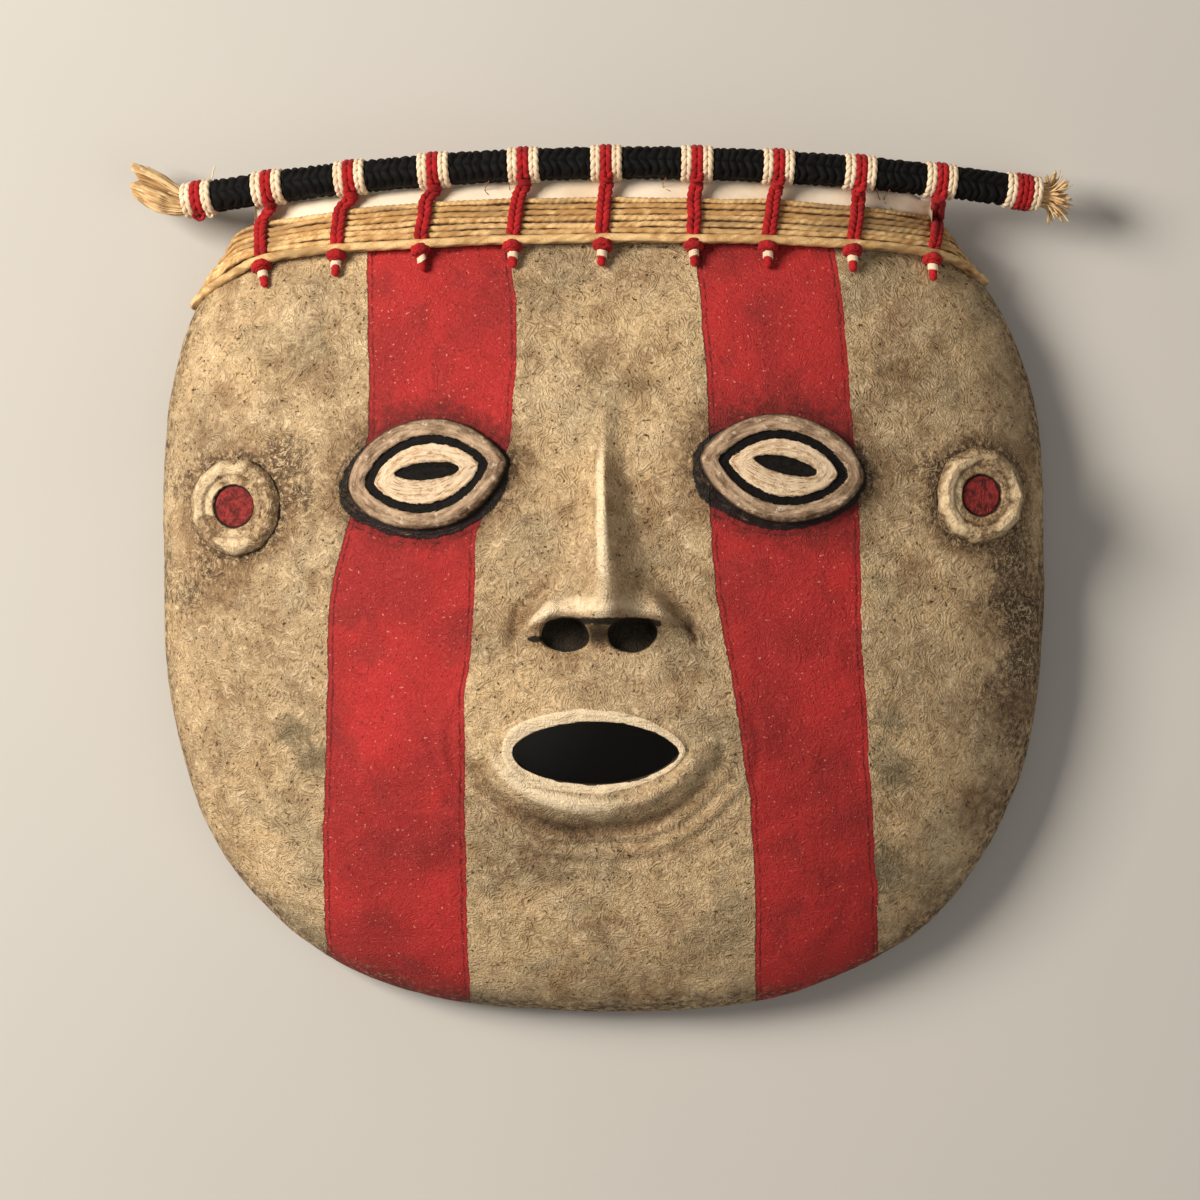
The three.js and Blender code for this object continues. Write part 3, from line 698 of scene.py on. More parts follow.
FACE = face_material()
EYE = eye_material()
EAR = ear_material()
HIDE = hide_material()
CORD = yarn_material(
    "plant_cord", srgb(232, 196, 140), srgb(180, 136, 82), srgb(112, 76, 42), stain=srgb(150, 118, 78),
    sheen=0.05, roughness=0.72,
)
STRAW = yarn_material(
    "dry_straw", srgb(232, 200, 150), srgb(180, 140, 92), srgb(110, 80, 48), sheen=0.05, roughness=0.7
)
BROWN = yarn_material("brown_thread", srgb(168, 104, 70), srgb(122, 66, 44), srgb(70, 36, 24))
BLACK = yarn_material(
    "black_yarn", srgb(17, 15, 14), srgb(8, 7, 7), srgb(2, 2, 2), sheen=0.0, roughness=0.7, specular=0.12
)
WHITE = yarn_material("white_yarn", srgb(242, 220, 192), srgb(220, 192, 158), srgb(136, 100, 68))
RED = yarn_material("red_yarn", srgb(180, 30, 32), srgb(136, 18, 22), srgb(48, 6, 8), sheen=0.04)


# The shell
def nose_height(x, y):
    """Height of the nose over the dome, how far down, out and under it a point is, and its lower edge."""
    dx = np.abs(x - NOSE_X)
    wing = np.zeros_like(x)
    for _ in range(14):
        edge = NOSE_TIP - NOSE_WINGS * np.minimum(wing, 1) ** 4
        down = np.clip((NOSE_ROOT - y) / (NOSE_ROOT - edge), 0, 1)
        wing = mix(wing, dx / (NOSE_BRIDGE + NOSE_FLARE * down**3), 0.6)
    out = np.minimum(wing, 1)
    # a sharp ridge above, rounder towards the tip
    rounding = mix(0.004, 0.05, smooth((down - 0.45) / 0.5))
    ridge = np.clip(1.02 - np.sqrt(out**2 + rounding), 0, 1) ** mix(1.5, 1.9, down)
    under = np.clip((edge - y) / (edge - NOSE_BASE), 0, 1)
    height = NOSE_HEIGHT * down**1.08 * ridge
    # the ball of the tip, the two wings and the rolled edge over the nostrils
    inner = np.clip(1 - wing**6, 0, 1)
    height = height + 6.2 * hump(dx, 8.5) * hump(y - NOSE_TIP - 4.0, 7.5)
    height = height + 8.5 * hump(dx - 17.4, 5.4) * hump(y - edge - 4.0, 5.8) * inner
    height = height + 1.4 * hump(y - edge - 1.8, 1.8) * inner
    # a groove round each wing
    round_wing = np.hypot(dx - 16.5, y - edge - 3.0)
    groove = 1.3 * hump(round_wing - 9.0, 1.7) * smooth((y - edge + 1) / 3)
    height = height - groove * smooth((dx - 8) / 4) * (under <= 0)
    return height * (1 - smooth(under * 1.25)), down, wing, under, edge


def scoop_nostrils(x, y, z, edge):
    """The height left by two pits right under the nose's edge, and how far into one each point is."""
    into = np.zeros_like(z)
    torn = 0.16 * noise(np.stack([x, y, 0 * x], -1), 4.5, 15)
    for nx in NOSTRIL_XS:
        away = ((x - nx) / NOSTRIL_SIZE[0]) ** 2 + ((y - NOSTRIL_Y) / NOSTRIL_SIZE[1]) ** 2 + torn
        into = np.maximum(into, smooth((1 - away) / 0.35) * smooth((edge - y + 0.2) / 1.4))
    return mix(z, np.minimum(z, dome_height(x, y) - NOSTRIL_SIZE[2]), into), into


def lens(u, v, a, b, points):
    """About how many millimetres a point is inside an almond of half-axes a and b.

    Points says how sharp each of its two ends is.
    """
    power = 2 / (1 + mix(points[0], points[1], smooth(0.5 + 0.5 * u / a)))
    p, q = np.abs(u / a), np.abs(v / b)
    slope = np.hypot(2 * p / a, power * q ** (power - 1) / b)
    return (1 - p**2 - q**power) / np.maximum(slope, 0.5 / b)


def turned(x, y, eye):
    c, s = math.cos(eye["turn"]), math.sin(eye["turn"])
    dx, dy = x - eye["x"], y - eye["y"]
    return dx * c + dy * s, -dx * s + dy * c


def make_shell():
    around, outward = 560, 150
    angle = turns(around)
    angle = angle + 0.38 * np.cos(angle)
    t = np.linspace(0, 1, 2000)
    crowd = np.cumsum(1 + 2.2 * hump(t, 0.06) + 2.4 * hump(t - 0.17, 0.06) + 1.2 * hump(t - 1, 0.05))
    out = np.interp(np.linspace(0, 1, outward), (crowd - crowd[0]) / (crowd[-1] - crowd[0]), t)[:, None]
    s = np.sin(angle)
    mx = MOUTH_X + MOUTH_HALF_WIDTH * np.cos(angle)
    point = mix(MOUTH_BLUNT, MOUTH_POINT, smooth(0.5 + 0.5 * np.cos(angle)))
    my = MOUTH_Y + MOUTH_HALF_HEIGHT * s * np.abs(s) ** point
    ox, oy = outline_point(angle)
    x, y = mix(mx, ox, out), mix(my, oy, out)
    distance = np.hypot(ox - mx, oy - my) * out
    below = np.maximum(0, -s)
    flat = np.stack([x, y, np.zeros_like(x)], -1)

    # raised lips, nose, and the rough ground round the eyes and ears
    rim_width = 0.9 + 2.0 * smooth(0.4 - 0.6 * np.cos(angle)) + 1.0 * np.maximum(0, s)
    rim_width = rim_width + 0.5 * noise(flat, 6, 18)
    lip = mix(1.3, 0.8, below) * (1 - smooth((distance - rim_width) / 1.9))
    lip = lip + 4.0 * below**0.7 * hump(distance - 6.6, 4.0)
    lip = (lip - 1.4 * below * hump(distance - 15, 4) + 3 * hump(distance, 22)) * smooth((1 - out) / 0.3)
    nose, down, wing, under, edge_y = nose_height(x, y)
    crease = hump(wing - 1.05, 0.06) * smooth((y - NOSE_BASE - 1) / 3) * smooth((NOSE_TIP + 1 - y) / 6)
    bed_and_shadow, eye_in, eye_x, eye_y = (np.full_like(x, value) for value in (OFF_MARK, -90.0, 0.0, 0.0))
    dirt_and_shade, grey, crust = (spots(x, y, marks) for marks in (DIRT_AND_SHADE_SMUDGES, GREY_SMUDGES, CRUSTS))
    for eye in EYES.values():
        u, v = turned(x, y, eye)
        gap = -lens(u, v, eye["half_length"], eye["half_width"], eye["plate"])
        low = smooth((eye["y"] + 4 - y) / 14)
        ends = smooth((np.abs(x - eye["x"]) - 15) / 9)
        right = smooth(0.5 + u / 36)
        # the dark pitch bed round each plate, made wider below as painted shadow of the plate
        bed_and_shadow = np.maximum(
            bed_and_shadow, 0.2 + mix(*eye["bed_and_shadow_below"], right) * low + mix(*eye["bed_ends"], right) * ends - gap
        )
        dirt_and_shade = np.maximum(dirt_and_shade, 0.9 * (1 - smooth(gap / 14)))
        crust = np.maximum(crust, 0.55 * ends * (1 - smooth((gap - 1) / 6)))
        nearer = -gap > eye_in
        eye_in = np.where(nearer, -gap, eye_in)
        length = np.maximum(np.hypot(u / eye["half_length"], v / eye["half_width"]), 1e-6)
        eye_x = np.where(nearer, EYE_DRAW * u / eye["half_length"] / length, eye_x)
        eye_y = np.where(nearer, EYE_DRAW * v / eye["half_width"] / length, eye_y)
    ear_gap = np.minimum(
        *[np.hypot((x - ear["x"]) * 1.08, y - ear["y"]) - ear["radius"] for ear in EARS.values()]
    )
    crust = np.maximum(crust, 0.62 * (1 - smooth((ear_gap - 1) / 4)))
    relief = nose + lip - 0.7 * crease + 0.5 * hump(ear_gap - 3, 1.6)
    relief = relief + smooth((bed_and_shadow + 0.5) / 1.8) * (0.8 + 0.5 * noise(flat, 2.6, 16))
    for _ in range(2):
        relief[1:-1] = (relief[:-2] + 2 * relief[1:-1] + relief[2:]) / 4
        relief = (np.roll(relief, 1, 1) + 2 * relief + np.roll(relief, -1, 1)) / 4
    z, nostril = scoop_nostrils(x, y, dome_height(x, y) + relief, edge_y)
    uneven = 0.5 * noise(flat, 31, 3) + 0.26 * noise(flat, 9, 4) + 0.15 * noise(flat, 3.6, 5)
    uneven = uneven + crust * (0.2 + 0.4 * noise(flat, 2.4, 17))
    fold = 0.5 * np.cos(distance * 1.15 + 1.5 * noise(flat, 14, 7))
    fold = fold * hump(distance - 18, 8) * (0.3 + 0.7 * below)
    ripple = (0.3 * noise(flat, 7, 6) + 0.2) * hump(distance - 3, 4) + fold
    raised = (uneven + ripple) * smooth((1 - out) / 0.02)
    face = np.stack([x, y, z], -1) + dome_normal(x, y) * raised[..., None]

    # paint, dirt, painted shade and painted highlight, as distances and strengths that the material reads
    stripe = np.full_like(x, OFF_MARK)
    for edges in STRIPES:
        left, right = np.array(edges["left"])[::-1], np.array(edges["right"])[::-1]
        inner = np.minimum(
            x - np.interp(y, left[:, 1], left[:, 0]), np.interp(y, right[:, 1], right[:, 0]) - x
        )
        stripe = np.maximum(stripe, inner)
    stripe = stripe + 0.45 * cloud(flat, 9, 41)
    right_half = smooth((x + 10) / 20)
    between = hump(x - (NOSTRIL_XS[0] + NOSTRIL_XS[1]) / 2, 4.5)
    beside = hump(wing - 1.12, 0.2) * smooth((y - NOSE_BASE) / 4) * smooth((12 - y) / 14)
    # dirt from the smudges and round the ears, with painted shade under the lower lip, in the creases round
    # the nose's wings (more on the right), on the septum between the nostrils and round the wings
    dirt_and_shade = strongest(
        dirt_and_shade,
        0.9 * (1 - smooth(ear_gap / 10)),
        0.95 * below * hump(distance - 14, 4) * mix(1, 0.7, right_half),
        mix(0.7, 1.1, right_half) * crease,
        1.25 * between * hump((y - NOSTRIL_Y) / 5, 1) * (under > 0),
        0.5 * beside,
    )
    # black paint in the nostrils, and painted shade under the nose's edge, under the holding cord, at the
    # ears' feet and round the mouth's opening
    black_paint_and_shade = strongest(
        nostril * 1.5,
        0.75 * (1 - smooth((ear_gap + 1) / 2.0)),
        0.5 * (1 - smooth(np.abs(y - holder_y(x) + 0.8) / 2.0)),
        (0.5 + 0.5 * noise(flat, 3, 38)) * (1 - smooth(distance / 0.8)),
        0.8 * hump(y - edge_y + 1.5, 1.5) * smooth((0.74 - wing) / 0.12),
        1.2 * hump((x - NOSTRIL_TAIL[0]) / 2.4, 1) * hump((y - NOSTRIL_TAIL[1]) / 1.0, 1),
    )
    # pale paint on the lips and wear on the nose's ridge; the lower lip's band, brighter to the left, and the
    # rolled edge over the nostrils are lit pale as painted highlight
    lit_from_left = mix(1.2, 0.5, smooth((x - MOUTH_X + 14) / 28))
    pale_and_highlight = 1.2 * (1 - smooth((distance - rim_width) / 1.3))
    pale_and_highlight = pale_and_highlight + 0.74 * below**0.5 * hump(distance - 6.0, 3.2) * lit_from_left
    on_nose = (under <= 0.06) * smooth((down - 0.04) / 0.2) * (0.78 + 0.4 * noise(flat, 8, 19))
    wander = 0.8 * noise(flat * np.array([0, 1, 0]), 15, 20)
    pale_and_highlight = np.maximum(pale_and_highlight, hump(x - NOSE_X + 0.5 - wander, 1.4 + 2.6 * down**4) * on_nose)
    rolled_edge_highlight = hump(y - edge_y - 3.0, 3.8) * np.clip(1 - wing**14, 0, 1) * (under <= 0.06)
    pale_and_highlight = np.maximum(pale_and_highlight, mix(0.8, 0.5, smooth((x + 6) / 14)) * rolled_edge_highlight * (0.95 + 0.25 * noise(flat, 5, 39)))
    edge = smooth((share(x, y) + 0.02 * cloud(flat, 22, 36) - 0.955) / 0.045)

    # down the wall, across the flat rim, up inside and back to the mouth
    away_x, away_y = ox - OUTLINE_X, oy - OUTLINE_Y
    length = np.hypot(away_x, away_y)
    rim_line = np.stack([ox, oy, ox * 0], -1)
    ragged = 0.5 * noise(rim_line, 24, 12) + 0.14 * noise(rim_line, 7, 13) + 0.12 * noise(rim_line, 2.6, 14)
    push = ragged * smooth((out - 0.9) / 0.1)
    face = face + np.stack([away_x / length * push, away_y / length * push, push * 0], -1)

    def ring_at(inset, height):
        px, py = outline_point(angle, inset - ragged)
        return np.stack([px, py, np.full_like(px, height)], -1)

    chip = np.maximum(0, noise(rim_line, 4.5, 8)) * 0.6
    lip_of_wall = ((0, 4.6, 0.4), (0.1, 3.2, 0.7), (0.35, 1.7, 1), (1.0, 0.55, 0.7), (2.0, 0, 0))
    wall = np.array([ring_at(inset + chip * worn, height) for inset, height, worn in lip_of_wall])
    rim = np.array(
        [ring_at(inset, height) for inset, height in ((3.6, 0), (4.5, 0.4), (5.0, 1.4), (5.0, 4.0))]
    )
    back = np.linspace(1, 0, 16)[:, None] ** 0.8
    ix, iy = outline_point(angle, THICK)
    bx, by = mix(mx, ix, back), mix(my, iy, back)
    lumps = 0.4 * noise(np.stack([bx, by, bx * 0], -1), 12, 9)
    inner = np.stack([bx, by, dome_height(bx, by, THICK) + lumps], -1)
    throat = mix(inner[-1], face[0], np.array([0.3, 0.6, 0.85])[:, None, None])
    grid = np.concatenate([face, wall, rim, inner, throat])

    def spread(values, wall_value=0.0, inner_value=0.0, throat_value=0.0):
        values = np.broadcast_to(values, x.shape)
        tail = [(len(wall), wall_value), (len(rim) + len(inner), inner_value), (len(throat), throat_value)]
        return np.concatenate([values] + [np.full((count, around), value) for count, value in tail])

    stripe = spread(stripe, OFF_MARK, OFF_MARK, OFF_MARK)
    stripe[len(face):len(face) + len(wall)] = stripe[len(face) - 1]
    fields = dict(
        stripe=stripe,
        dirt_and_shade=spread(dirt_and_shade, 0.5),
        grey=spread(grey),
        crust=spread(crust, 0.3),
        # the throat of the mouth is black: painted shade
        black_paint_and_shade=spread(black_paint_and_shade, 0, 0, 0.9),
        bed_and_shadow=spread(bed_and_shadow, OFF_MARK, OFF_MARK, OFF_MARK),
        pale_and_highlight=spread(np.clip(pale_and_highlight, 0, 1)),
        edge=spread(edge, 1.0),
        inside=spread(0.0, 0.0, 1.0, 0.6),
        eye_in=spread(eye_in),
        eye_x=spread(eye_x),
        eye_y=spread(eye_y),
        **tones(grid),
    )
    dress("face_shell", [skin(grid, closed=True, **fields)], FACE)


# Eye plates and ear discs
def plate_grid(x, y, up, u, v, height):
    """Points over the dome round (x, y): u and v run square to up, and height is measured along it."""
    across = unit(np.array([1.0, 0, 0]) - up * up[0])
    along = np.cross(up, across)
    centre = np.array([x, y, float(dome_height(np.array(x), np.array(y)))])
    return centre + u[..., None] * across + v[..., None] * along + height[..., None] * up


def drop_to_dome(point, up):
    """How far each point lies over the dome, measured along up."""
    fall = np.zeros(point.shape[:-1])
    for _ in range(12):
        now = point - up * fall[..., None]
        fall = fall + (now[..., 2] - dome_height(now[..., 0], now[..., 1])) * up[2]
    return fall


def make_eye(side, eye):
    around, outward = 192, 56
    angle = turns(around)
    part = np.linspace(0.02, 1, outward)[:, None]
    s = np.sin(angle)
    a, b = eye["half_length"], eye["half_width"]
    wobble = 1 + 0.014 * noise(np.stack([np.cos(angle) * 9, s * 9, angle * 0 + eye["x"]], -1), 4, 21)
    point = mix(*eye["plate"], smooth(0.5 + 0.5 * np.cos(angle)))
    u, v = part * a * np.cos(angle) * wobble, part * b * s * np.abs(s) ** point * wobble
    ring = lens(u, v, a - 5.0, b - 4.7, eye["ring"])
    cream = lens(u, v, a - 8.1, b - 7.3, eye["cream"])
    tilt = eye["pupil_turn"]
    pu, pv = u * math.cos(tilt) + v * math.sin(tilt), v * math.cos(tilt) - u * math.sin(tilt)
    pupil = lens(pu - 0.3, pv - 0.7, 9.5, 2.5, (0.35, -0.1))
    edge = lens(u, v, a, b, eye["plate"])
    height = 2.7 + 1.4 * np.sqrt(smooth(edge / 1.8)) - 0.9 * smooth((ring + 0.3) / 0.6)
    height = height + 0.75 * smooth((cream + 0.2) / 0.5)
    height = height + 0.3 * smooth(cream / 5) - 0.75 * smooth((pupil + 0.2) / 0.4)
    flat = np.stack([u, v, np.full_like(u, eye["x"])], -1)
    height = height + 0.22 * noise(flat, 4.2, 22) + 0.14 * noise(flat, 1.6, 23)
    up = dome_normal(np.array(eye["x"]), np.array(eye["y"]))
    c, t = math.cos(eye["turn"]), math.sin(eye["turn"])
    base = plate_grid(eye["x"], eye["y"], up, u * c - v * t, u * t + v * c, np.zeros_like(u))
    top = base + up * (height - drop_to_dome(base, up))[..., None]
    sides = [top[-1] - up * (height[-1] * share_down)[:, None] for share_down in (0.3, 0.65, 1.0)]
    foot_loop = mix(top[-1].mean(0), sides[-1], 0.4)
    grid = np.concatenate([top, sides, foot_loop[None]])
    rest = np.ones((4, around))
    # darker towards the edge and the lower right: scorch, and painted shade on the side away from the light
    low = 0.5 + 0.5 * smooth((u - v) / 20)
    fields = dict(
        ring=np.concatenate([ring, OFF_PLATE * rest]),
        cream=np.concatenate([cream, OFF_PLATE * rest]),
        pupil=np.concatenate([pupil, OFF_PLATE * rest]),
        edge_scorch_and_shade=np.concatenate([low * (1 - smooth(edge / 3.2)), rest]),
        # painted shade down the plate's sides and at the very edge of its top
        foot_shade=np.concatenate([0.9 * (1 - smooth(edge / 0.7)), np.array([0.8, 1, 1, 1])[:, None] * rest]),
        eye_in=np.concatenate([edge, 0 * rest]),
        eye_x=EYE_DRAW * np.cos(angle),
        eye_y=EYE_DRAW * s,
    )
    dress("eye_plate_" + side, [skin(grid, **fields)], EYE)


def make_ear(side, ear):
    around, outward = 160, 60
    angle = turns(around)
    part = np.linspace(0.03, 1, outward)[:, None]
    shape = [
        [0, 3.2], [0.38, 3.3], [0.42, 2.9], [0.46, 4.0], [0.58, 4.15], [0.63, 4.05], [0.69, 4.8], [0.82, 5.1],
        [0.9, 4.4], [1, 2.6],
    ]
    profile = np.interp(part, *np.array(shape).T)
    # the outline is hand-cut, nearly an eleven-sided disc
    corner = 2 * math.pi / EAR_CORNERS
    facet = math.cos(corner / 2) / np.cos((angle + ear["x"]) % corner - corner / 2)
    wobble = noise(np.stack([np.cos(angle) * 6, np.sin(angle) * 6, angle * 0 + ear["x"]], -1), 3.5, 31)
    radius = ear["radius"] * part * (mix(1, facet, 0.8 * smooth((part - 0.5) / 0.3)) + 0.03 * wobble)
    u, v = radius * np.cos(angle), radius * np.sin(angle)
    flat = np.stack([u, v, np.full_like(u, ear["x"])], -1)
    # plaster has flaked off in sheets, and the pale sheets gather on the outer crest as painted highlight
    sheet = cloud(flat, 9, 34) + 0.34 * hump(part - 0.82, 0.13) - 0.24
    flake_and_highlight = smooth((sheet + 0.08) / 0.4) * smooth((part - 0.44) / 0.03) * smooth((1.0 - part) / 0.05)
    crack = 0.6 * hump(sheet, 0.03) * smooth((part - 0.44) / 0.03)
    lumps = 0.25 * noise(flat, 5, 32) + 0.15 * noise(flat, 2.2, 33)
    height = profile + lumps * smooth((part - 0.42) / 0.05) + 0.25 * flake_and_highlight
    # the disc faces outward less than the dome under it
    up = unit(mix(dome_normal(np.array(ear["x"]), np.array(ear["y"])), np.array([0, 0, 1.0]), 0.42))
    top = plate_grid(ear["x"], ear["y"], up, u, v, height)
    wall = drop_to_dome(top[-1], up) + 0.2
    sides = [top[-1] - up * (wall * share_down)[:, None] for share_down in (0.2, 0.45, 0.7, 0.9, 1.0)]
    foot_loop = mix(top[0].mean(0) - up * 4.2, sides[-1], 0.4)
    grid = np.concatenate([top, sides, foot_loop[None]])
    rest = np.ones((len(sides) + 1, around))
    # painted shade on the disc's sides, darkest at its foot
    foot_shade = np.concatenate([smooth((part - 0.9) / 0.12) * 0.5 * np.ones((1, around)), 0.55 * rest])
    foot_shade[-3:] = 1
    fields = dict(
        middle=np.concatenate([ear["radius"] * EAR_MIDDLE - radius, OFF_PLATE * rest]),
        flake_and_highlight=np.concatenate([flake_and_highlight, 0 * rest]),
        crack=np.concatenate(
            [np.maximum(crack, (0.45 + 0.5 * noise(flat, 6, 35)) * hump(part - 0.63, 0.03)), 0 * rest]
        ),
        foot_shade=foot_shade,
        **tones(grid),
    )
    dress("ear_disc_" + side, [skin(grid, **fields)], EAR)


# Cords and the strip
def holder_y(x):
    t = np.abs(x / HOLDER_REACH)
    return HOLDER_MIDDLE + HOLDER_TILT * x - HOLDER_SAG * t**2 - HOLDER_DROP * t**HOLDER_BEND


def row_y(x, row):
    close = mix(1, 0.82, smooth((np.abs(x) - 40) / 60))
    return holder_y(x) if row == ROWS else holder_y(x) + ROW_FIRST + (ROWS - 1 - row) * ROW_PITCH * close


def edge_crossing(row, side):
    inside, outside = 60.0, 130.0
    for _ in range(40):
        middle = (inside + outside) / 2
        if share(np.array(side * middle), row_y(np.array(side * middle), row)) < 1:
            inside = middle
        else:
            outside = middle
    return side * inside


def cord_path(row, lift, wander, seed):
    """A row's path over the face, with both ends run down the wall."""
    left, right = edge_crossing(row, -1), edge_crossing(row, 1)
    x = mix(left, right, (1 - np.cos(np.linspace(0, math.pi, 90))) / 2)
    spot = np.stack([x, x * 0 + row * 37, x * 0], -1)
    y = row_y(x, row) + wander * noise(spot, 16, seed) + 0.5 * wander * noise(spot, 6, seed + 1)
    points = over(x, y, lift(x) + 0.12 * noise(spot, 9, seed + 2))
    ends = [points[0] * [1, 1, 0] + [0, 0, 2.2], points[-1] * [1, 1, 0] + [0, 0, 2.2]]
    return spline(np.vstack([ends[0], points[::2], points[-1], ends[1]]), 0.5)


def row_lift(x):
    """The rows lie over the strip in the middle and sink against the shell at their ends."""
    on_strip = smooth((x - STRIP_LEFT + 10) / 8) * smooth((STRIP_RIGHT + 10 - x) / 8)
    return mix(0.55, 1.3, on_strip) + (STRIP_THICK + 0.75) * on_strip


def holder_lift(x):
    """The holding cord rides over the ties and comes down to the shell at its ends."""
    return mix(2.0 + HOLDER_RADIUS, 0.55 * HOLDER_RADIUS, smooth((np.abs(x) - 98) / 14))


def make_cords():
    tones_of_rows = (0.0, 0.7, 0.9, 0.2, 0.0, 0.25)
    for row in range(ROWS):
        path = cord_path(row, row_lift, 0.36, 40 + 5 * row)
        facing = dome_normal(path[:, 0], path[:, 1])
        pitch, depth = (3.8, 0.3) if row == 0 else (5 + 1.5 * (row % 3), 0.24)
        part = yarn(
            path, facing, ROW_RADIUS, plies=2, pitch=pitch, depth=depth, sides=16, seed=row, packed_shade=0.8,
            tone=tones_of_rows[row],
        )
        dress("forehead_cord_%d" % (row + 1), [part], CORD)
    path = cord_path(ROWS, holder_lift, 0.16, 90)
    facing = dome_normal(path[:, 0], path[:, 1])
    part = yarn(path, facing, HOLDER_RADIUS, plies=3, pitch=17, depth=0.14, sides=18, seed=9, packed_shade=0.6)
    dress("holding_cord", [part], CORD)


def make_strip():
    x = np.linspace(STRIP_LEFT, STRIP_RIGHT, 220)
    stations = []
    tucked = smooth((x - 90) / 6)
    behind = bar_point(x) - SLOPE_OUT * (STRIP_BEHIND + 2.2 * tucked)[:, None]
    low, mid = over(x, holder_y(x) + 2, 0.7), over(x, row_y(x, 3), 0.7)
    top = over(x, row_y(x, 0) + ROW_RADIUS, 0.75 - 0.6 * tucked)
    for t in np.linspace(0, 1, 12):
        ts = t * 3
        legs = [mix(low, mid, ts), mix(mid, top, ts - 1), mix(top, behind - SLOPE_OUT * STRIP_THICK, ts - 2)]
        stations.append(legs[min(2, int(ts))])
    back = np.stack(stations, 1)
    spot = np.stack([back[..., 0], back[..., 1] * 2, back[..., 0] * 0], -1)
    normal = SLOPE_OUT * np.ones_like(back)
    front = back + normal * (STRIP_THICK + 0.12 * noise(spot, 14, 51))[..., None]
    grid = np.concatenate([back, front[:, ::-1]], 1)
    dress("white_strip", [skin(grid)], HIDE)


# The bar, its wraps, bands and ties
def bar_point(x):
    x = np.asarray(x, float)
    return np.stack(
        [x, BAR_Y - (x - BAR_X) ** 2 / (2 * BAR_SAG_Y), BAR_Z - (x - BAR_X) ** 2 / (2 * BAR_SAG_Z)], -1
    )


def bar_along(x):
    return unit(np.array([1, -(x - BAR_X) / BAR_SAG_Y, -(x - BAR_X) / BAR_SAG_Z]))


def bar_side(x, degrees, radius):
    """A point beside the bar, turned from its front towards its upper side."""
    along = bar_along(x)
    up = unit(np.cross(SLOPE_OUT, along))
    angle = math.radians(degrees)
    return bar_point(x) + radius * (math.cos(angle) * np.cross(along, up) + math.sin(angle) * up)


def strip_point(x, rise):
    """A point on the strip, from its lowest bare edge at 0 to the bar at 1."""
    low = over(x, row_y(np.array(x), 0) + ROW_RADIUS, 0.75)
    behind = bar_point(x) - SLOPE_OUT * (STRIP_BEHIND + STRIP_THICK)
    return mix(low, behind, rise) + SLOPE_OUT * (STRIP_THICK + 0.3)


def make_threads():
    """Loose ends of yarn: over and under the left band, and brown ones on the strip."""
    red = [
        (
            [
                bar_side(-121.6, -100, 5.3), bar_side(-120.4, -120, 6.2), bar_side(-118.8, -120, 6.2),
                bar_side(-117.8, -100, 5.3),
            ],
            0.55,
        )
    ]
    white = [
        ([bar_side(-114.8, 44, 5.3), bar_side(-114.3, 50, 7.4), bar_side(-113.5, 52, 9.2)], 0.22),
        ([bar_side(-117.4, -104, 5.4), bar_side(-116.4, -122, 6.2), bar_side(-115.6, -112, 5.6)], 0.45),
    ]
    brown = []
    for x in (-33, -27, 19, 81, 85):
        bend, reach = rng.uniform(-1.5, 1.5), rng.uniform(1.0, 3.0)
        points = [
            bar_side(x, -100, 5.0), strip_point(x + bend, 0.55),
            strip_point(x + bend + reach, rng.uniform(0.1, 0.4)),
        ]
        brown.append((points, rng.uniform(0.1, 0.16)))
    for name, threads, material, slot in (
        ("stray_red_thread", red, RED, "red_yarn"),
        ("stray_white_threads", white, WHITE, "white_yarn"),
        ("stray_brown_threads", brown, BROWN, "plant_cord"),
    ):
        skins = [
            yarn(spline(points, 0.3), SLOPE_OUT, radius, plies=2, pitch=3.4, depth=0.25, sides=8, seed=k)
            for k, (points, radius) in enumerate(threads)
        ]
        build(name, skins, material)


def make_black_wraps():
    """Each wrap is four soft plaits laid lengthwise, of which two show from the front."""
    plaits, sides, seam = 4, 96, math.radians(61.5)
    angle = turns(sides)[None, :]
    local = (angle - seam) * plaits / (2 * math.pi) % 1 - 0.5
    row = np.cos(math.pi * local) ** 0.5
    for i, (a, b) in enumerate(zip(BANDS_AT[:-1], BANDS_AT[1:])):
        x = np.linspace(a + BAND_WIDTH / 2 - 0.2, b - BAND_WIDTH / 2 + 0.2, 84)
        path = bar_point(x)
        _, across, out = path_frames(path, SLOPE_OUT)
        length = (x - x[0])[:, None]
        spot = path[:, None] + np.stack([0 * angle, np.cos(angle) * 5, np.sin(angle) * 5], -1)
        place = length / 2.5 + 0.4 * noise(spot, 4, 70 + i) + 0.37 * i
        lumps = np.abs(np.cos(math.pi * (place + np.abs(local) * 1.1))) ** 0.6
        size = YARN_BLACK * (0.84 + 0.16 * row) + (0.75 * lumps - 0.55) * row
        size = size + 0.22 * noise(spot, 1.5, 60 + i)
        ends = np.minimum(length, length[-1] - length)
        size = size * (0.9 + 0.1 * smooth(ends / 0.9))
        size = np.concatenate([np.full((1, sides), YARN_INNER), size, np.full((1, sides), YARN_INNER)])
        path, across, out = (np.concatenate([v[:1], v, v[-1:]]) for v in (path, across, out))
        grid = path[:, None] + across[:, None] * (size * np.cos(angle))[..., None]
        grid = grid + out[:, None] * (size * np.sin(angle))[..., None]
        # painted shade between the plaits' lumps
        groove = 1 - row * (0.4 + 0.6 * lumps)
        groove = np.concatenate([groove[:1], groove, groove[-1:]])
        dress("black_wrap_%d" % (i + 1), [skin(grid, groove=groove, fibre=groove * 0)], BLACK)


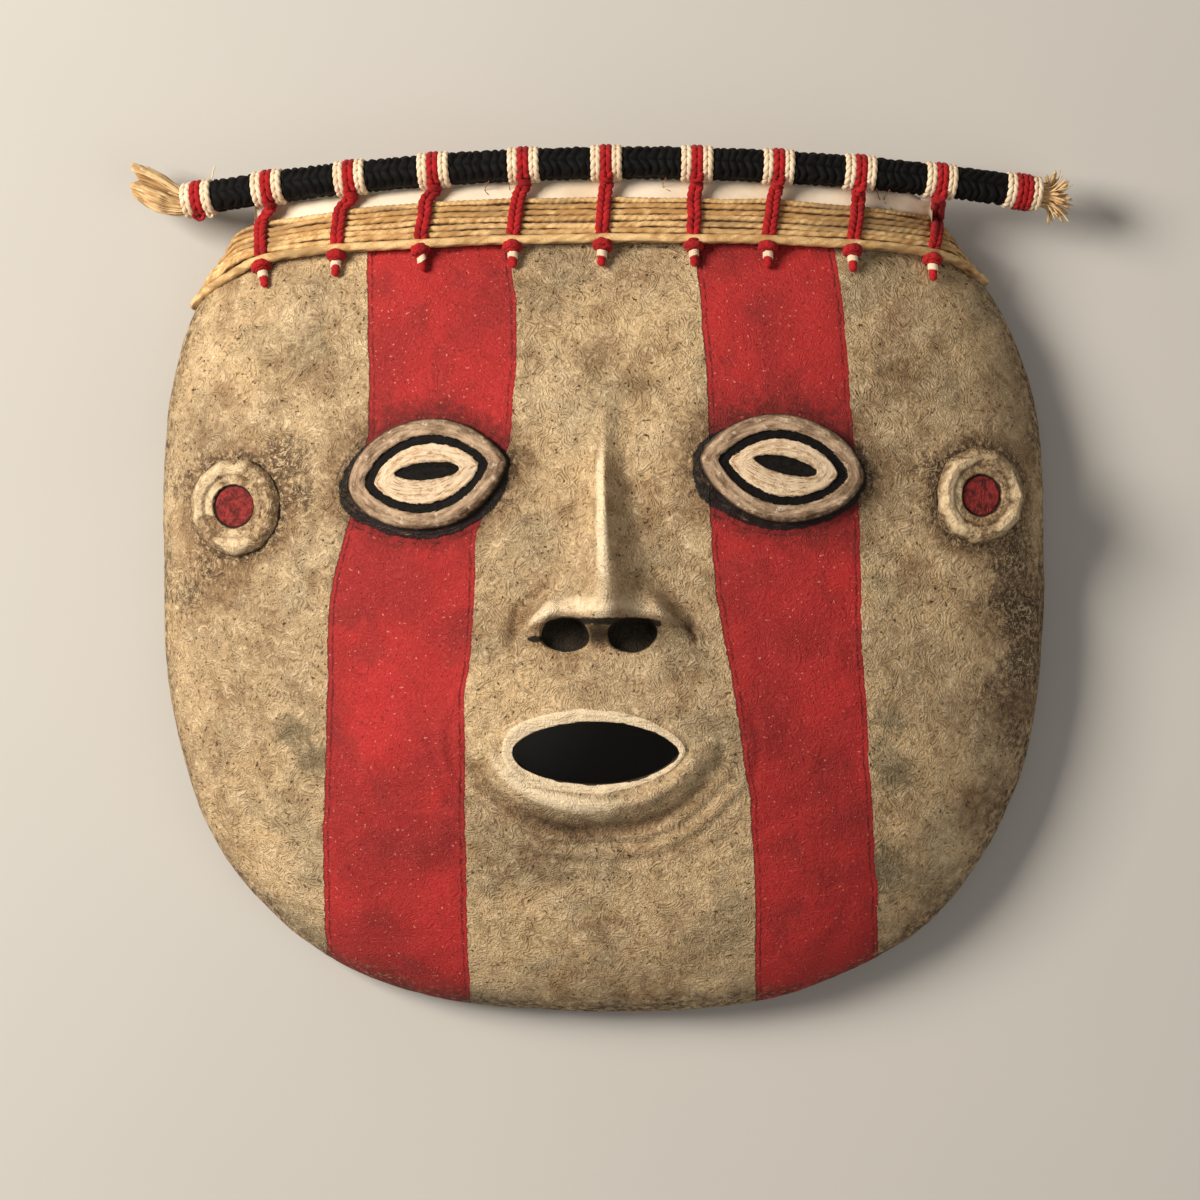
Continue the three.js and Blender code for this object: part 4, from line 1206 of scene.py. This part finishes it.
def band_rings(x, offsets, radius, thick, wide):
    """Turns of yarn side by side round the bar, twisted opposite ways so that they meet in a chevron."""
    along = bar_along(x)
    return [
        yarn_ring(
            bar_point(x) + along * offset, along, SLOPE_OUT, radius, thick, 5.0 * (1 if k % 2 else -1),
            wide=wide, seed=k + int(x),
        )
        for k, offset in enumerate(offsets)
    ]


def make_bands():
    for i, x in enumerate(BANDS_AT):
        side = BAND_RED / 2 + (LAST_RED_ROOM if i == len(BANDS_AT) - 1 else RED_ROOM)
        offsets = [
            -side - 1.5 * BAND_TURN, -side - 0.5 * BAND_TURN, side + 0.5 * BAND_TURN, side + 1.5 * BAND_TURN
        ]
        jitter = rng.uniform(-0.1, 0.1, 4)
        rings = band_rings(x, np.array(offsets) + jitter, *WHITE_TURN)
        dress("white_band_%d" % (i + 1), rings, WHITE)
    for side, x, offsets in (("left", BANDS_AT[0], RED_OFFSETS), ("right", BANDS_AT[-1], LAST_RED_OFFSETS)):
        rings = band_rings(x, offsets, *RED_TURN)
        dress("red_band_" + side, rings, RED)


def make_ties():
    whips = []
    for i, knob_x in enumerate(KNOBS_AT):
        from_x = BANDS_AT[i + 1]
        start = [
            bar_side(from_x, degrees, radius)
            for degrees, radius in ((-72, 4.7), (-94, 5.5), (-116, 6.1))
        ]
        hold_y = float(holder_y(np.array(knob_x)))
        top_y, bottom_y = (float(row_y(np.array(knob_x), row)) for row in (0, ROWS - 1))
        bar_y = float(bar_point(from_x)[1])
        rows = []
        for y, lift in (
            (top_y, 4.6), (mix(top_y, bottom_y, 0.5), 4.5), (bottom_y, 4.0), (hold_y + 0.6, 2.3),
            (hold_y - 1.2, 1.6),
        ):
            x = mix(from_x, knob_x, (bar_y - y) / (bar_y - hold_y))
            rows.append(over(x, y, lift))
        path = spline(np.vstack(start + rows), 0.36)
        facing = dome_normal(path[:, 0], path[:, 1])
        facing = mix(SLOPE_OUT, facing, smooth(np.linspace(0, 2, len(path)) - 0.3)[:, None])
        _, across, _ = path_frames(path, facing)
        path = path + across * (0.3 * noise(path, 4.5, 80 + i))[:, None]
        apart = 1.0 * (1 - 0.35 * hump(np.linspace(0, 1, len(path)) - 1, 0.12))[:, None]
        skins = band_rings(from_x, RED_OFFSETS, *RED_TURN)
        for sign in (-1, 1):
            strand = path + across * apart * sign
            skins.append(
                yarn(
                    strand, facing, 1.08, plies=2, pitch=4.6 * sign, depth=0.36, wide=1.14,
                    seed=i + 10 * sign + 10,
                )
            )
        # the knob is wound yarn over the tie's end, then a whipped tip
        lean = rng.uniform(-0.6, 1.0)
        head = over(knob_x, hold_y - 1.7, 2.9)
        tail = over(knob_x + lean, hold_y - 7.4, 1.6)
        axis = unit(tail - head)
        face_up = dome_normal(np.array(knob_x), np.array(hold_y - 3))
        for place, radius, thick in (
            (-1.1, 1.25, 0.85), (-0.4, 2.05, 0.95), (0.35, 2.2, 0.95), (1.05, 1.5, 0.85)
        ):
            slant = unit(axis + 0.12 * rng.normal(size=3))
            skins.append(
                yarn_ring(head + axis * place, slant, face_up, radius, thick, 3.2, count=48, sides=8, seed=i)
            )
        core = spline([head - axis * 1.6, head, head + axis * 1.8, tail], 0.3)
        skins.append(yarn(core, face_up, 1.3, plies=3, pitch=5.2, depth=0.2, seed=i))
        dress("red_tie_%d" % (i + 1), skins, RED)
        slant = unit(axis + 0.2 * rng.normal(size=3))
        for place in (2.0, 2.6, 3.2):
            whips.append(
                yarn_ring(head + axis * place, slant, face_up, 1.18, 0.46, 2.0, count=36, sides=6, seed=i)
            )
    build("tie_whippings", whips, WHITE)


def straw(points, width, thick, seed, tone=0.0):
    path = spline(points, 0.9)
    facing = np.broadcast_to(SLOPE_OUT + 0.2 * rng.normal(size=3), path.shape)
    return yarn(
        path, facing, thick, plies=2, pitch=60, depth=0.06, sides=8, wide=width / thick, seed=seed, tone=tone
    )


def make_tufts():
    skins = []
    # the left tuft is a bundle of flat straw that opens in a mouth towards the front and turns up
    start_x = BANDS_AT[0] - BAND_WIDTH / 2 + 1.5
    along, start = bar_along(start_x), bar_point(start_x)
    across = np.array([0.0, 1.0, 0.0])
    aim = unit(0.48 * across - along)
    out = np.cross(across, aim)
    for k in range(54):
        angle = math.radians(58 + 306 * (k + rng.uniform(0, 1)) / 54)
        upper = math.sin(angle) > 0.3
        reach = (TUFT_LEFT + 3.0) * rng.uniform(0.86, 1.06)
        direction = out * math.cos(angle) * 0.8 + across * math.sin(angle)
        base = start + direction * rng.uniform(2.2, 3.4)
        first = start - along * 3.0 + direction * rng.uniform(2.8, 3.6)
        swell = TUFT_RADIUS * rng.uniform(0.86, 1.0)
        middle = start - along * 1.6 + aim * reach * 0.52 + direction * swell
        tip = start - along * 1.0 + aim * reach + direction * swell * (1.12 if upper else 0.62)
        tip = tip + rng.normal(0, 0.35, 3)
        # straws on the back of the bundle are darkened, as painted shade inside its mouth
        dark = 1.8 * smooth((-math.cos(angle) - 0.1) / 0.4)
        skins.append(
            straw([base, first, middle, tip], rng.uniform(0.8, 1.4), rng.uniform(0.2, 0.32), k, dark)
        )
    # short ends inside its mouth
    for k in range(12):
        angle = rng.uniform(0, 2 * math.pi)
        direction = (out * math.cos(angle) + across * math.sin(angle)) * rng.uniform(0.4, 2.2)
        tip = start + aim * TUFT_LEFT * rng.uniform(0.4, 0.62) + direction * 1.3
        skins.append(straw([start + direction, start + aim * 4 + direction, tip], 0.5, 0.3, k))
    # the right tuft is finer and frayed
    end_x = BANDS_AT[-1] + BAND_WIDTH / 2 - 1.5
    along, start = bar_along(end_x), bar_point(end_x)
    across = unit(np.cross(along, SLOPE_OUT))
    out = np.cross(across, along)
    for k in range(120):
        angle = rng.uniform(0, 2 * math.pi)
        spread = rng.uniform(0.02, 1.0) ** 0.55
        thick = rng.uniform(0.36, 0.56) if k % 3 == 0 else rng.uniform(0.15, 0.3)
        reach = (TUFT_RIGHT + 1.2) * rng.uniform(0.62, 1.1)
        direction = out * math.cos(angle) * 0.8 + across * math.sin(angle)
        base = start + direction * spread * 3.6
        middle = start + along * (reach * 0.5 + 1.5) + direction * spread * 4.4 + rng.normal(0, 0.5, 3)
        tip = start + along * (reach * (1.1 - 0.35 * spread) + 1.5) + direction * spread * TUFT_RADIUS * 1.9
        tip = tip + rng.normal(0, 0.8, 3)
        skins.append(straw([base, middle, tip], thick * 1.2, thick, k))
    # the hidden core between them
    x = np.linspace(BANDS_AT[0] - BAND_WIDTH / 2, BANDS_AT[-1] + BAND_WIDTH / 2, 60)
    skins.append(yarn(bar_point(x), SLOPE_OUT, 3.0, plies=5, pitch=40, depth=0.1, sides=16))
    dress("bar_core", skins, STRAW)


make_shell()
for eye_side, eye_shape in EYES.items():
    make_eye(eye_side, eye_shape)
for ear_side, ear_shape in EARS.items():
    make_ear(ear_side, ear_shape)
make_strip()
make_cords()
make_black_wraps()
make_bands()
make_ties()
make_tufts()
make_threads()


# Floor, light and camera
def area_light(name, place, aim, size, power, colour):
    light = bpy.data.lights.new(name, "AREA")
    light.energy, light.size, light.color = power, size, colour
    lamp = bpy.data.objects.new(name, light)
    lamp.location = place
    lamp.rotation_euler = (Vector(aim) - Vector(place)).to_track_quat("-Z", "Y").to_euler()
    bpy.context.collection.objects.link(lamp)


def make_stage():
    mesh = bpy.data.meshes.new("floor")
    mesh.from_pydata([(-4, -4, 0), (4, -4, 0), (4, 4, 0), (-4, 4, 0)], [], [(0, 1, 2, 3)])
    s = Shader("pale_floor", roughness=0.9)
    mesh.materials.append(s.finish(s.blend(s.noise(180, 2), srgb(196, 193, 188), srgb(188, 185, 180))))
    floor = bpy.data.objects.new("floor", mesh)
    bpy.context.collection.objects.link(floor)
    world = bpy.data.worlds.new("soft_room")
    world.use_nodes = True
    world.node_tree.nodes["Background"].inputs["Color"].default_value = (1.0, 0.96, 0.9, 1)
    world.node_tree.nodes["Background"].inputs["Strength"].default_value = 0.2
    bpy.context.scene.world = world
    aim = (0, 0, 0.03)
    area_light("key", (-1.0, 0.38, 0.98), aim, size=0.6, power=30.5, colour=(1.0, 0.93, 0.83))
    area_light("fill", (0.9, -0.5, 1.3), aim, size=1.2, power=4.0, colour=(1.0, 0.95, 0.9))


def make_camera():
    # straight over the mask, with 1200 pixels across 360 mm at the rim
    distance, wide, rim_height, sensor = 1.3, 0.36, 0.006, 36.0
    camera = bpy.data.cameras.new("camera")
    camera.sensor_width = sensor
    camera.lens = sensor * (distance - rim_height) / wide
    view = bpy.data.objects.new("camera", camera)
    view.location = (-0.0004, -0.00535, distance)
    bpy.context.collection.objects.link(view)
    bpy.context.scene.camera = view


make_stage()
make_camera()
bpy.context.scene.view_settings.view_transform = "Standard"
